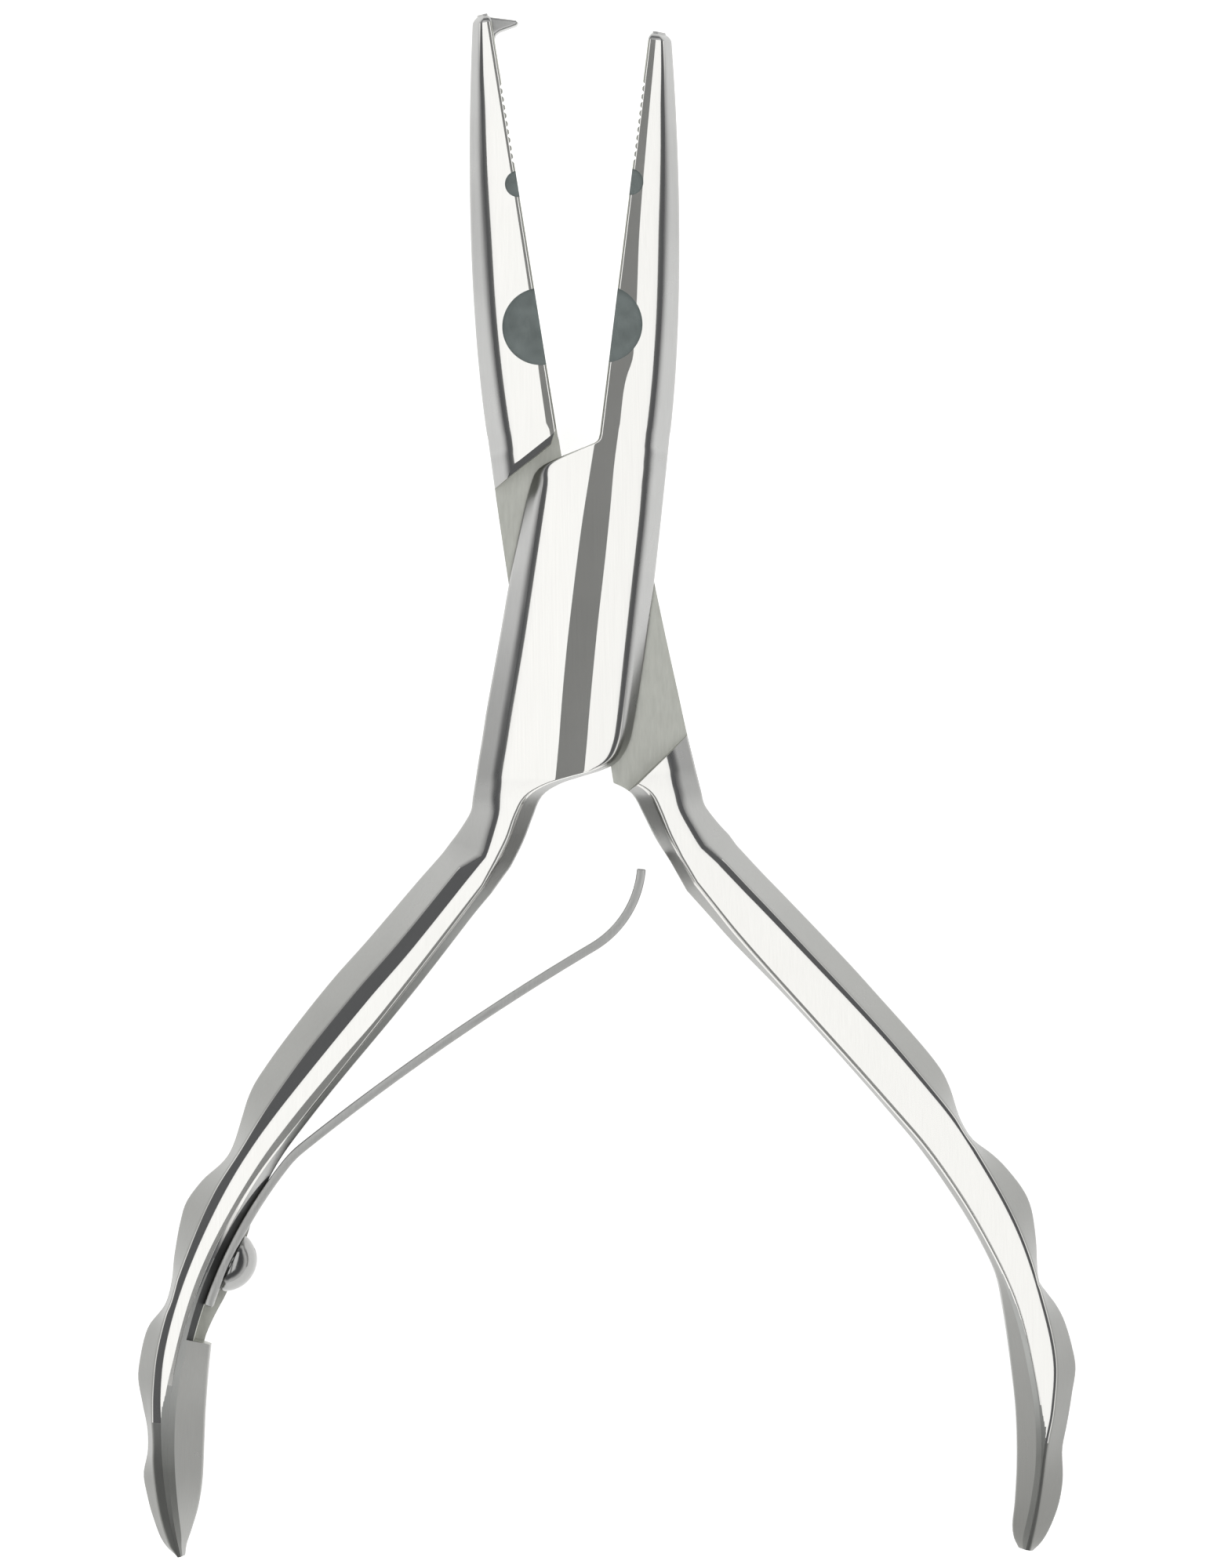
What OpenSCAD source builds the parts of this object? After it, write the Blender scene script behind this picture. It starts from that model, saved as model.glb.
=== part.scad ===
// Split-ring fishing pliers with a box joint and a leaf spring, lying flat, jaws along +Y.
// Millimetres. The pivot axis is the Z axis, the back of the joint rests on Z = 0.

/* [Pose] */
// angle between the two jaw faces as the pliers lie
open_angle = 16; // [12:0.5:20]

/* [Body] */
// thickness of the joint and the handles
thickness = 8.4; // [7.6:0.1:9.6]
// width of the joint bar at the pivot
bar_width = 13.1; // [12.2:0.1:14.2]
// slope of the polished front and back facets, degrees
facet_slope = 6; // [4:0.5:8]
// reach of the rounding between facet and bevel
edge_round = 0.7; // [0.4:0.1:1]

/* [Jaws] */
// pivot to the tip of the plain jaw
jaw_length = 50.3; // [47:0.1:56]
// width of one jaw at its tip
tip_width = 2.0; // [1.6:0.1:2.6]
// thickness of the jaws at the tip
tip_thickness = 4.2; // [3.4:0.1:5.4]
// space left between the gripping faces when shut
face_gap = 0.1; // [0.06:0.01:0.2]
// how far the hook tooth reaches over the plain jaw
hook_reach = 2.3; // [1.6:0.1:2.6]
// height of the hook tooth where it leaves the jaw
hook_height = 1.6; // [1.3:0.1:2.2]
// width of the hook tooth across the jaw
hook_width = 2.6; // [1.8:0.1:3.2]

/* [Pockets and teeth] */
// diameter of the large half-round pockets
pocket_d = 7; // [5:0.1:7.6]
// pivot to the middle of the large pockets
pocket_at = 23.3; // [21:0.1:26]
// diameter of the small half-round pockets
small_pocket_d = 2.4; // [1.6:0.1:3]
// pivot to the middle of the small pockets
small_pocket_at = 36.4; // [34:0.1:37]
// how far past its gripping face the box half's large pocket is centred
pocket_shift = 0.8; // [0:0.1:1.2]
// depth of the pockets below the front facet
pocket_depth = 1.1; // [0.6:0.1:1.3]
// pitch of the fine teeth on the gripping faces
tooth_pitch = 0.75; // [0.6:0.05:1]
// depth of the fine teeth
tooth_depth = 0.25; // [0.15:0.05:0.35]
// pivot to the first fine tooth
teeth_from = 38.6; // [38.4:0.1:40]
// number of fine teeth in each jaw
teeth_count = 10; // [6:1:11]

/* [Joint] */
// thickness of the tongue between the two cheeks
tongue_thickness = 2.8; // [2.2:0.1:3]
// play between the tongue and each cheek
side_play = 0.08; // [0.05:0.01:0.15]
// room left round the hidden corners of the tongue
swing_room = 0.3; // [0.2:0.05:0.4]
// radius of the round middle of the tongue
hub_r = 9; // [8:0.1:9.4]
// diameter of the pivot pin
pin_d = 3.6; // [3:0.1:4.4]
// radial play of the pin in the tongue
pin_play = 0.05; // [0.02:0.01:0.1]
// depth of the spread pin ends
head_depth = 0.9; // [0.6:0.1:1.2]

/* [Handles] */
// slant of the straight upper part of the handles, degrees from the closing line
handle_slant = 32.2; // [29:0.1:35]
// length of the straight upper part
handle_straight = 32.4; // [29:0.1:36]
// radius of the bend in the lower part
handle_bend = 45.4; // [42:0.1:52]
// turn of each handle about the pivot, in on the box half and out on the tongue half
handle_turn = 0.8; // [0:0.1:1.2]
// how much longer the handle of the tongue half is, and how much shorter that of the box half
handle_shift = 1.1; // [0:0.1:1.5]
// depth of the finger grooves as a share of the drawn depth
groove_share = 1; // [0.5:0.05:1.1]

/* [Spring] */
// thickness of the leaf spring
leaf_thickness = 0.8; // [0.5:0.05:1]
// width of the leaf spring
leaf_width = 4.4; // [3:0.1:5]
// depth of the milled seat below the middle of the facet
seat_offset = 1.6; // [1.4:0.05:1.8]

/* [Screw] */
// diameter of the domed screw head
head_d = 5.4; // [4.6:0.1:5.8]
// height of the domed screw head
head_h = 2.2; // [1.6:0.1:2.5]
// diameter of the screw shank
shank_d = 2.4; // [1.8:0.1:2.8]
// length of the shank below the leaf spring
shank_length = 2.4; // [1.6:0.1:2.8]
// width of the driver slot
slot_width = 0.7; // [0.5:0.05:1]

/* [Hidden] */
$fn = 64;

steel = [0.78, 0.79, 0.80];
half_open = open_angle / 2;
mid = thickness / 2;
// the facets crest a little above the resting planes and are cut flat there
face_cut = 0.04;
crest = mid + face_cut;
fall = tan(facet_slope);
// the joint is drawn at this bar width and stretched across to the set one
drawn_bar = 13.1;
stretch = bar_width / drawn_bar;
// longer than either end of the tool
reach = 60;
slot_half = tongue_thickness / 2 + side_play;
// half height of the side walls of the cheeks, and of the low walls at the handle
cheek_side = slot_half + 0.4;
low_side = 0.6;
// small chamfer along the gripping faces
grip_edge = 0.15;
// room between the plain tip and the hook, which makes the hooked jaw the longer one
tip_room = 0.3;
hook_jaw = jaw_length + hook_height + tip_room;

// smooth curve through a list of [position, value] pairs
function span(list, s, i = 0) = i >= len(list) - 2 || s <= list[i + 1][0] ? i : span(list, s, i + 1);
function slope(list, i) =
    let(a = max(i - 1, 0), b = min(i + 1, len(list) - 1))
    (list[b][1] - list[a][1]) / (list[b][0] - list[a][0]);
function curve(list, s) =
    let(i = span(list, s), h = list[i + 1][0] - list[i][0], t = (s - list[i][0]) / h)
    (1 + 2 * t) * (1 - t) * (1 - t) * list[i][1] + t * t * (3 - 2 * t) * list[i + 1][1]
    + h * t * (1 - t) * ((1 - t) * slope(list, i) - t * slope(list, i + 1));

function turned(p, a) = [p.x * cos(a) - p.y * sin(a), p.x * sin(a) + p.y * cos(a)];
function clamp(v) = min(1, max(0, v));
// the turn of a handle sets in below the joint and is whole at its crotch
turn_from = -13;
turn_over = 13;
function turn_share(y) = clamp((turn_from - y) / turn_over);
function set(p, a) = turned(p, a * turn_share(p.y));

// one rounded corner of a section, as a short curve from side a to side c
side_share = 0.45;
function corner(a, b, c, reach_a, reach_c) =
    let(ra = min(reach_a, side_share * norm(a - b)), rc = min(reach_c, side_share * norm(c - b)),
        p = b + (a - b) * ra / norm(a - b), q = b + (c - b) * rc / norm(c - b))
    [for (t = [0 : 1 / 3 : 1]) (1 - t) * (1 - t) * p + 2 * t * (1 - t) * b + t * t * q];

// one section: left and right edge, bevel widths, flat crest from a to b, half heights,
// and the reach of the rounding down the left bevel
function section(l, r, wl, wr, a, b, h, hl, hr, brow = edge_round) =
    let(w = norm(r - l), d = (r - l) / w,
        kl = [wl, h - fall * max(0, a - wl)],
        kr = [w - wr, h - fall * max(0, w - wr - b)],
        front = concat([[0, hl]], corner([0, hl], kl, [a, h], brow, edge_round), [[a, h], [b, h]],
                       corner([b, h], kr, [w, hr], edge_round, edge_round), [[w, hr]]),
        n = len(front))
    concat([for (p = front) [l.x + d.x * p.x, l.y + d.y * p.x, mid + p.y]],
           [for (i = [n - 1 : -1 : 0]) let(p = front[i]) [l.x + d.x * p.x, l.y + d.y * p.x, mid - p.y]]);

// jaw: straight gripping face on the closing line, outer edge swelling towards the joint
jaw_root = 14.6;
root_width = 6.32 * stretch;
width_power = 1.65;
taper_from = 13.5;
taper_power = 1.5;
jaw_bevel = [[12, 1.75], [14.6, 1.75], [18, 1.7], [24, 1.6], [32, 1.55], [36, 1.42], [40, 1.25], [44, 1.1],
             [47, 0.9], [52, 0.7]];
jaw_side = [[12, 1.6], [28, 1.6], [36, 1.5], [44, 1.2], [52, 0.9]];
// width of the flat band along the gripping edge, wide on the box half and narrow on the tongue half
wide_flat = [[14.6, 1.95], [20, 1.9], [26, 1.6], [32, 1.1], [40, 0.75], [52, 0.4]];
narrow_flat = [[14.6, 0.6], [20, 0.5], [26, 0.25], [52, 0.2]];
bevel_limit = 0.58;
tip_round = 0.8;
tip_end = 0.6;
jaw_rings = 16;
function jaw_width(y) =
    let(t = max(0, (y - jaw_root) / (jaw_length - jaw_root)))
    root_width - (root_width - tip_width) * pow(t, width_power);
function jaw_half(y) =
    crest - (crest - tip_thickness / 2) * pow((y - taper_from) / (jaw_length - taper_from), taper_power);
function tip_share(d) = d < tip_round ? max(tip_end, sqrt(1 - pow(1 - d / tip_round, 2))) : 1;
function jaw_section(y, length, flat) =
    let(k = tip_share(length - y), full = jaw_width(y), w = full * k,
        x = face_gap / 2 + (full - w) * 0.4, h = jaw_half(y) * (1 + k) / 2,
        wr = min(curve(jaw_bevel, y), bevel_limit * w), wl = grip_edge * k, a = wl + 0.1)
    section([x, y], [x + w, y], wl, wr, a, a + curve(flat, y) * k, h, h - grip_edge,
            min(curve(jaw_side, y), h / 2));
function jaw_steps(length) =
    let(straight = length - tip_round - jaw_root)
    concat([for (d = [0, 0.16, 0.3, 0.5, tip_round]) length - d],
           [for (i = [1 : jaw_rings]) length - tip_round - straight * i / jaw_rings]);

// joint, from the throat past the cheek corners to the crotch: left edge, right edge,
// the two bevel widths, and the two walls from low (-1) past the cheek wall (0) to the crest (1)
throat = 14;
bar_rows = [
    [[0.05, throat], [6.34, throat], 0.15, 1.75, 1, -0.22],
    [[0.04, 13.3], [6.36, 13.4], 0.15, 1.75, 1, -0.22],
    [[-0.12, 12.75], [6.37, 12.9], 0.15, 1.75, 1, -0.22],
    [[-0.75, 12.3], [6.38, 12.4], 0.15, 1.75, 1, 0],
    [[-2.3, 11.45], [6.40, 11.6], 0.15, 1.75, 1, 0],
    [[-3.7, 10.65], [6.42, 10.8], 0.2, 1.7, 0.75, 0],
    [[-4.7, 10.0], [6.43, 10.1], 0.35, 1.7, 0.5, 0],
    [[-5.3, 9.3], [6.44, 9.4], 0.7, 1.7, 0.25, 0],
    [[-5.62, 8.3], [6.46, 8.3], 1.05, 1.65, 0, 0],
    [[-5.95, 5.8], [6.5, 5.8], 1.4, 1.6, 0, 0],
    [[-6.42, 0.3], [6.55, 0.3], 1.8, 1.6, 0, 0],
    [[-6.75, -6], [6.5, -6], 2, 1.45, 0, 0],
    [[-7.1, -12], [6.3, -12], 2.1, 1.1, 0, 0],
    [[-7.22, -14.6], [6.0, -14.2], 2.1, 0.9, 0, 0],
    [[-7.3, -16], [5.2, -15.8], 2.1, 0.6, 0, 0],
    [[-7.38, -17.2], [3.9, -16.75], 2.1, 0.6, 0, 0.05],
    [[-7.43, -18.2], [2.0, -17.6], 2.1, 0.9, 0, 0.09],
    [[-7.5, -19.4], [0.1, -18.5], 2.15, 1.2, 0, 0.14],
    [[-7.57, -20.6], [-1.35, -19.75], 2.2, 1.4, 0, 0.18],
    [[-7.67, -21.9], [-2.0, -21.7], 2.3, 1.5, -0.27, 0.23],
    [[-8.5, -23.6], [-2.65, -24.0], 2.8, 1.4, -0.63, 0.27],
    [[-9.3, -24.9], [-3.6, -26.4], 3.3, 1.3, -1, 0.32]];
// the flat crest of the bar lies to the jaw's side of the closing line, wide on the box half
crest_from = -0.25;
wide_crest = 2.25;
narrow_crest = 0.7;
// the outer bevel of the tongue half runs out slimmer towards its handle, its inner one swells in the crotch
root_from = -20;
root_over = 5;
root_slim = 0.25;
swell_from = -17.2;
crotch_swell = [[-27, -0.35], [-24, -0.1], [-22, 0], [-20, 0.2], [-18.2, 0.5], [swell_from, 0]];
function wall(share) =
    cheek_side + share * (share > 0 ? crest - grip_edge - cheek_side : cheek_side - low_side);
function across(p) = [p.x * stretch, p.y];
function bar_section(row, turn, crest_to, slim) =
    let(l = across(row[0]), r = across(row[1]), w = norm(r - l),
        wl = row[2] * (1 - slim * root_slim * clamp((root_from - l.y) / root_over)),
        wr = row[3] + (r.y < swell_from ? slim * curve(crotch_swell, r.y) : 0),
        b = min(max(wl + 0.3, crest_to - l.x), w - wr - 0.1),
        a = min(max(wl + 0.1, crest_from - l.x), b - 0.15))
    section(set(l, turn), set(r, turn), wl, wr, a, b, crest, wall(row[4]), wall(row[5]));

// handle: straight, then bent; bands given along its length from the crotch, as drawn 74 long
drawn_handle = 74;
bent_length = 41.6;
handle_length = handle_straight + bent_length;
box_handle = handle_length - handle_shift;
tongue_handle = handle_length + handle_shift;
handle_start = [-4.9, -25.5];
straight_end = handle_start - handle_straight * [sin(handle_slant), cos(handle_slant)];
bend_middle = straight_end + handle_bend * [cos(handle_slant), -sin(handle_slant)];
function slant(q) = handle_slant - max(0, q - handle_straight) / handle_bend * 180 / PI;
function inward(q) = [cos(slant(q)), -sin(slant(q))];
function path(q) = q <= handle_straight
    ? handle_start - q * [sin(handle_slant), cos(handle_slant)]
    : bend_middle - handle_bend * inward(q);
// three finger grooves in the outer edge, then the tapering end
groove = [[3, 0], [24, 0], [30, 0.25], [33.3, 0.95], [36.8, 1.6], [40, 0.75], [43, 0.2],
          [46.5, 0.75], [51, 1.75], [54, 0.55], [56.5, 0.1], [60.5, 0.75], [64.6, 1.25],
          [68, 0.75], [71, 0.9], [74, 1.15]];
outer_band = [[3, 3.35], [6, 3.41], [10, 3.45], [14, 3.54], [18, 3.75], [22, 3.82], [28, 3.82], [32, 3.8],
              [34, 3.5], [36, 3.32], [38, 3.25], [40, 3.32], [42, 3.22], [44, 2.94], [48, 2.92], [50, 3.2],
              [52, 3.5], [53, 3.55], [54, 3.38], [56, 3.09], [58, 3.2], [60, 3.03], [62, 2.82], [64, 2.96],
              [66, 3.25], [68, 2.78], [70, 2.55], [72, 2.3], [73, 1.95], [74, 1.3]];
facet_band = [[3, 1.4], [9, 1.75], [18, 1.95], [30, 1.85], [42, 1.4], [48, 1.1], [54, 0.6],
              [60, 0.28], [74, 0.2]];
inner_band = [[3, 1], [6, 0.84], [14, 0.78], [18, 0.7], [26, 0.52], [32, 0.6], [36, 0.9], [40, 1.5],
              [44, 2.2], [48, 2.45], [53, 2.48], [54, 2.62], [56, 2.85], [58, 3.03], [60, 3.13], [63, 3.17],
              [66, 3.03], [68, 2.74], [70, 2.17], [72, 1.25], [73, 0.7], [74, 0.35]];
inner_side = [[3, 2.5], [46, 2.5], [54, 1.6], [60, 0.8], [74, 0.5]];
crest_drop = [[3, 0], [54, 0], [60, 0.15], [66, 0.6], [70, 1.15], [74, 2.3]];
// reach of the rounding down the outer bevel of the box half's handle
sharp_brow = [[3, edge_round], [74, edge_round]];
wide_brow = [[3, 1.9], [30, 1.7], [48, 1.1], [60, edge_round], [74, edge_round]];
// the tongue half's handle: a broad facet that runs to the inner edge, and a blunt end that bends in
broad_outer = [[3, 2.5], [6, 2.45], [14, 2.43], [18, 2.4], [22, 2.32], [26, 2.34], [30, 2.44], [32, 2.32],
               [34, 1.95], [36, 2.15], [38, 2.66], [40, 2.65], [42, 2.53], [44, 2.41], [46, 2.21],
               [48, 2.06], [50, 2.16], [51, 2.6], [52, 2.78], [53, 2.6], [54, 2.36], [56, 2.12], [58, 2.33],
               [60, 2.26], [62, 2.18], [64, 2.27], [66, 2.6], [68, 2.72], [70, 2.76], [72, 2.5],
               [73.2, 2.15], [74, 1.7]];
broad_facet = [[3, 2.6], [6, 2.9], [9, 3.2], [15, 3.45], [24, 3.65], [33, 3.5], [39, 3.15], [45, 2.85],
               [51, 2.2], [57, 1.95], [60, 1.65], [63, 1.35], [66, 0.6], [69, 0.25], [74, 0.2]];
broad_inner = [[3, 1.05], [6, 0.84], [10, 0.62], [14, 0.4], [18, 0.3], [27, 0.3], [39, 0.45], [45, 0.45],
               [48, 0.58], [51, 1.15], [54, 1.55], [57, 1.8], [60, 1.98], [63, 2.08], [66, 2.05],
               [70, 1.75], [72, 1.6], [73.2, 1.2], [74, 0.6]];
broad_shift = [[3, -0.1], [9, 0], [24, -0.15], [33, 0], [39, 0.2], [51, 0.1], [60, 0.2], [63, 0.3],
               [66, 0.7], [69, 1.05], [74, 1.3]];
no_shift = [[3, 0], [74, 0]];
// how a handle is drawn: outer bevel, facet, inner bevel, shift of all three inwards, outer rounding,
// and where across the facet its flat crest starts
narrow_style = [outer_band, facet_band, inner_band, no_shift, wide_brow, 0.8];
broad_style = [broad_outer, broad_facet, broad_inner, broad_shift, sharp_brow, 0.9];
outer_side = 0.5;
function handle_section(at, size, turn, style) =
    let(q = at * size / drawn_handle, e = inward(q), f = curve(style[1], at),
        h = crest - curve(crest_drop, at), wi = curve(style[2], at),
        wo = curve(style[0], at) - groove_share * curve(groove, at),
        middle = path(q) + curve(style[3], at) * e,
        l = middle - (f / 2 + wo) * e, r = middle + (f / 2 + wi) * e)
    section(set(l, turn), set(r, turn), wo, wi, wo + style[5] * f, wo + 0.95 * f, h,
            min(outer_side, 0.3 * h), min(curve(inner_side, at), 0.6 * h), curve(style[4], at));
handle_steps = concat([3, 6, 10, 14, 19, 24, 28], [for (at = [30.5 : 1.5 : 72.5]) at], [73.4, drawn_handle]);

// the whole forging of one half, jaw to the right and handle to the left, closed pose
module forging(length, size, turn, flat, style, crest_to, slim) {
    rings = concat([for (y = jaw_steps(length)) jaw_section(y, length, flat)],
                   [for (row = bar_rows) bar_section(row, turn, crest_to, slim)],
                   [for (at = handle_steps) handle_section(at, size, turn, style)]);
    n = len(rings[0]);
    m = len(rings);
    polyhedron(
        points = [for (ring = rings) for (p = ring) p],
        faces = concat(
            [[for (i = [n - 1 : -1 : 0]) i]],
            [[for (i = [0 : n - 1]) (m - 1) * n + i]],
            [for (k = [0 : m - 2]) for (i = [0 : n - 1]) let(j = (i + 1) % n)
                [k * n + i, (k + 1) * n + j, (k + 1) * n + i]],
            [for (k = [0 : m - 2]) for (i = [0 : n - 1]) let(j = (i + 1) % n)
                [k * n + i, k * n + j, (k + 1) * n + j]]),
        convexity = 10);
}

// cuts run this far past the faces they open
past = 1;

// everything that is cut away from both forgings at the faces they rest on
module face_cuts() {
    translate([-reach, -2 * reach, -past]) cube([2 * reach, 4 * reach, past]);
    translate([-reach, -2 * reach, thickness]) cube([2 * reach, 4 * reach, past]);
}

// a shape cut right through from front to back
module through() {
    translate([0, 0, -past]) linear_extrude(thickness + 2 * past) children();
}

// one fine tooth, a vee in the gripping face
tooth_half = tooth_pitch * 0.35;
module tooth_shape() {
    polygon([[-0.2, -tooth_half], [-0.2, tooth_half], [0, tooth_half], [tooth_depth, 0], [0, -tooth_half]]);
}

// half-round pockets and fine teeth along the gripping face of one jaw
small_share = 0.7;
module grip_cuts(shift) {
    floor_big = mid + jaw_half(pocket_at) - pocket_depth;
    floor_small = mid + jaw_half(small_pocket_at) - pocket_depth * small_share;
    translate([-shift, pocket_at, floor_big]) cylinder(d = pocket_d, h = thickness);
    translate([0, small_pocket_at, floor_small]) cylinder(d = small_pocket_d, h = thickness);
    for (i = [0 : teeth_count - 1])
        translate([face_gap / 2, teeth_from + i * tooth_pitch, 0]) through() tooth_shape();
}

// slot of the box half: round middle, open towards the swing of the tongue on both sides
slot_top = 13.2;
slot_end = -22;
module slot_shape() {
    circle(r = hub_r + swing_room, $fn = 96);
    polygon([[-reach, 0], [swing_room, 0], [swing_room, slot_top], [-reach, slot_top]]);
    polygon([[reach, 0], [-swing_room, 0], [-swing_room, slot_end], [reach, slot_end]]);
}

// milled flat for the foot of the spring, following the bend of the handle;
// places on it are counted along the handle from its crotch as drawn
drawn_straight = 32.4;
seat_tilt = 9.6;
seat_shift = 1.5;
seat_from = 28;
seat_to = 51.3;
seat_cut = 4;
// a lip is left behind the leaf, and in front of it the wall of the seat leans back
lip_gap = 0.15;
seat_lean = 0.7;
seat_r = handle_bend - seat_offset;
function foot_angle(q) = handle_slant - (q - drawn_straight) / handle_bend * 180 / PI;
function on_ring(a, r) = r * [-cos(a), sin(a)];
seat_slant = slant(handle_straight + seat_tilt);
seat_middle = bend_middle - seat_shift * [sin(seat_slant), cos(seat_slant)];
module seat() {
    lip = mid - leaf_width / 2 - lip_gap;
    lean_from = mid + leaf_width / 2;
    translate(seat_middle)
        intersection() {
            difference() {
                union() {
                    translate([0, 0, lip]) cylinder(r = seat_r, h = lean_from - lip, $fn = 360);
                    translate([0, 0, lean_from])
                        cylinder(r1 = seat_r, r2 = seat_r + seat_lean, h = mid - leaf_width / 2, $fn = 360);
                }
                through() circle(r = seat_r - seat_cut, $fn = 360);
            }
            through()
                polygon([[0, 0], on_ring(foot_angle(seat_to), reach), on_ring(foot_angle(seat_from), reach)]);
        }
}

// place of the screw: a depth above the seat, axis square to it
screw_at = 43.2;
screw_angle = foot_angle(screw_at);
module on_seat(depth) {
    place = seat_middle + on_ring(screw_angle, seat_r - depth);
    rotate(handle_turn) translate([place.x, place.y, mid]) rotate([0, 90, -screw_angle]) children();
}

module pin_hole(extra) {
    through() circle(d = pin_d + 2 * extra);
}

// spread end of the pin, a cone that widens up to the front face and runs on past it
pin_flare = 0.5;
module pin_head(beyond) {
    height = head_depth + beyond;
    translate([0, 0, thickness - head_depth])
        cylinder(d1 = pin_d, d2 = pin_d + 2 * pin_flare * height / head_depth, h = height);
}

// the same thing at the back
module to_back() {
    translate([0, 0, thickness]) mirror([0, 0, 1]) children();
}

// how far the screw hole runs past the end of the shank, and the room cut into the lip round the screw head
hole_spare = 0.1;
head_room = 0.15;
module box_forging() {
    difference() {
        forging(jaw_length, box_handle, handle_turn, wide_flat, narrow_style, wide_crest, 0);
        face_cuts();
    }
}
module box_half() {
    color(steel) rotate(-half_open)
        difference() {
            box_forging();
            translate([0, 0, mid - slot_half]) linear_extrude(2 * slot_half) slot_shape();
            grip_cuts(pocket_shift);
            pin_hole(0);
            pin_head(past);
            to_back() pin_head(past);
            rotate(handle_turn) seat();
            on_seat(-shank_length - hole_spare) cylinder(d = shank_d, h = shank_length + seat_cut);
            on_seat(leaf_thickness / 2) cylinder(d = head_d + 2 * head_room, h = seat_cut);
        }
}

// lapped recess of the tongue half between its two slanting shoulders, each [height, slope]
upper_shoulder = [13.1, 0.559];
lower_shoulder = [-20.25, 0.69];
lap_half = 9 * stretch;
function shoulder(line, x) = [x, line[0] + line[1] * x / stretch];
module lap_shape() {
    polygon([shoulder(upper_shoulder, -lap_half), shoulder(upper_shoulder, lap_half),
             shoulder(lower_shoulder, lap_half), shoulder(lower_shoulder, -lap_half)]);
    // room for the rounded throat of the box half
    polygon([[-0.8, throat - 2], [0.5, throat - 2], [0.5, throat + 0.1], [-0.04, throat + 0.1]]);
}
// broken edge of the upper shoulder: its reach onto the jaw's facet, its tilt, and its fall with the facet
edge_reach = 0.64;
edge_tilt = 30;
edge_fall = 5.2;
module lap_cut() {
    translate([0, 0, mid + tongue_thickness / 2]) linear_extrude(thickness) lap_shape();
    translate([0, upper_shoulder[0] + edge_reach / cos(atan(upper_shoulder[1])), thickness])
        rotate([0, -edge_fall, atan(upper_shoulder[1] / stretch)]) rotate([edge_tilt, 0, 0])
            translate([-lap_half - past, -2 * past, 0]) cube([lap_half + past, 2 * past, 2 * past]);
}

// hidden corners of the tongue, cut back to its round middle
corner_top = 13.4;
corner_end = -20.5;
module corner_shape() {
    difference() {
        union() {
            polygon([[0, 0], [reach, 0], [reach, corner_top], [0, corner_top]]);
            polygon([[0, 0], [-reach, 0], [-reach, corner_end], [0, corner_end]]);
        }
        circle(r = hub_r, $fn = 96);
    }
}

// hook tooth at the tip, a beak reaching over the closing line
module hook() {
    top = hook_jaw - grip_edge;
    translate([0, 0, mid - hook_width / 2]) linear_extrude(hook_width)
        polygon([[-1.1, top - 0.25], [-0.5, top], [0.1, top - 0.25], [hook_reach - 0.15, top - 0.85],
                 [hook_reach, top - 1.1], [hook_reach - 0.2, top - 1.3], [0.55, top - hook_height],
                 [0.15, top - hook_height - 0.2], [-0.05, top - hook_height - 0.6],
                 [-0.7, top - hook_height - 0.8]]);
}

module tongue_half() {
    color(steel) rotate(half_open)
        difference() {
            union() {
                mirror([1, 0, 0])
                    forging(hook_jaw, tongue_handle, -handle_turn, narrow_flat, broad_style, narrow_crest, 1);
                hook();
            }
            face_cuts();
            lap_cut();
            to_back() lap_cut();
            through() corner_shape();
            mirror([1, 0, 0]) grip_cuts(0);
            pin_hole(pin_play);
        }
}

// riveted pin, both ends spread and ground flush with the facets of the box half
module pivot_pin() {
    color(steel)
        intersection() {
            union() {
                cylinder(d = pin_d, h = thickness);
                pin_head(0);
                to_back() pin_head(0);
            }
            rotate(-half_open) box_forging();
        }
}

// leaf: foot on the seat, a quick bend off the handle, a long shallow blade and a curled tip,
// as arcs of [radius, turn]
foot_at = 47.8;
foot_from = foot_angle(foot_at);
seat_play = 0.02;
leaf_line_r = seat_r - seat_play - leaf_thickness / 2;
foot_start = seat_middle + on_ring(foot_from, leaf_line_r);
bend_r = 9;
blade_r = 230;
curl_r = 9;
leaf_arcs = [[leaf_line_r, handle_slant - foot_from], [bend_r, 13], [blade_r, 8], [curl_r, -55]];
arc_step = 2;
// end of an arc that starts at p with slant a and turns by t on radius r
function arc_end(p, a, r, t) = t > 0
    ? p + r * [cos(a) - cos(a + t), sin(a + t) - sin(a)]
    : p + r * [cos(a + t) - cos(a), sin(a) - sin(a + t)];
function arc_points(p, a, r, t) =
    let(n = max(2, ceil(abs(t) / arc_step)))
    [for (i = [1 : n]) concat(arc_end(p, a, r, t * i / n), [a + t * i / n])];
function leaf_points(i, p, a) = i == len(leaf_arcs) ? [] :
    let(r = leaf_arcs[i][0], t = leaf_arcs[i][1])
    concat(arc_points(p, a, r, t), leaf_points(i + 1, arc_end(p, a, r, t), a + t));
leaf_line = concat([concat(foot_start, [foot_from])], leaf_points(0, foot_start, foot_from));
module leaf_shape() {
    half = leaf_thickness / 2;
    polygon(concat([for (p = leaf_line) [p.x + half * cos(p.z), p.y - half * sin(p.z)]],
                   [for (i = [len(leaf_line) - 1 : -1 : 0]) let(p = leaf_line[i])
                       [p.x - half * cos(p.z), p.y + half * sin(p.z)]]));
}
// play of the screw in the hole of the leaf
leaf_play = 0.1;
module leaf_spring() {
    color(steel) rotate(-half_open)
        difference() {
            rotate(handle_turn) translate([0, 0, mid - leaf_width / 2])
                linear_extrude(leaf_width) leaf_shape();
            on_seat(-past) cylinder(d = shank_d + 2 * leaf_play, h = leaf_thickness + 3 * past);
        }
}

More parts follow.
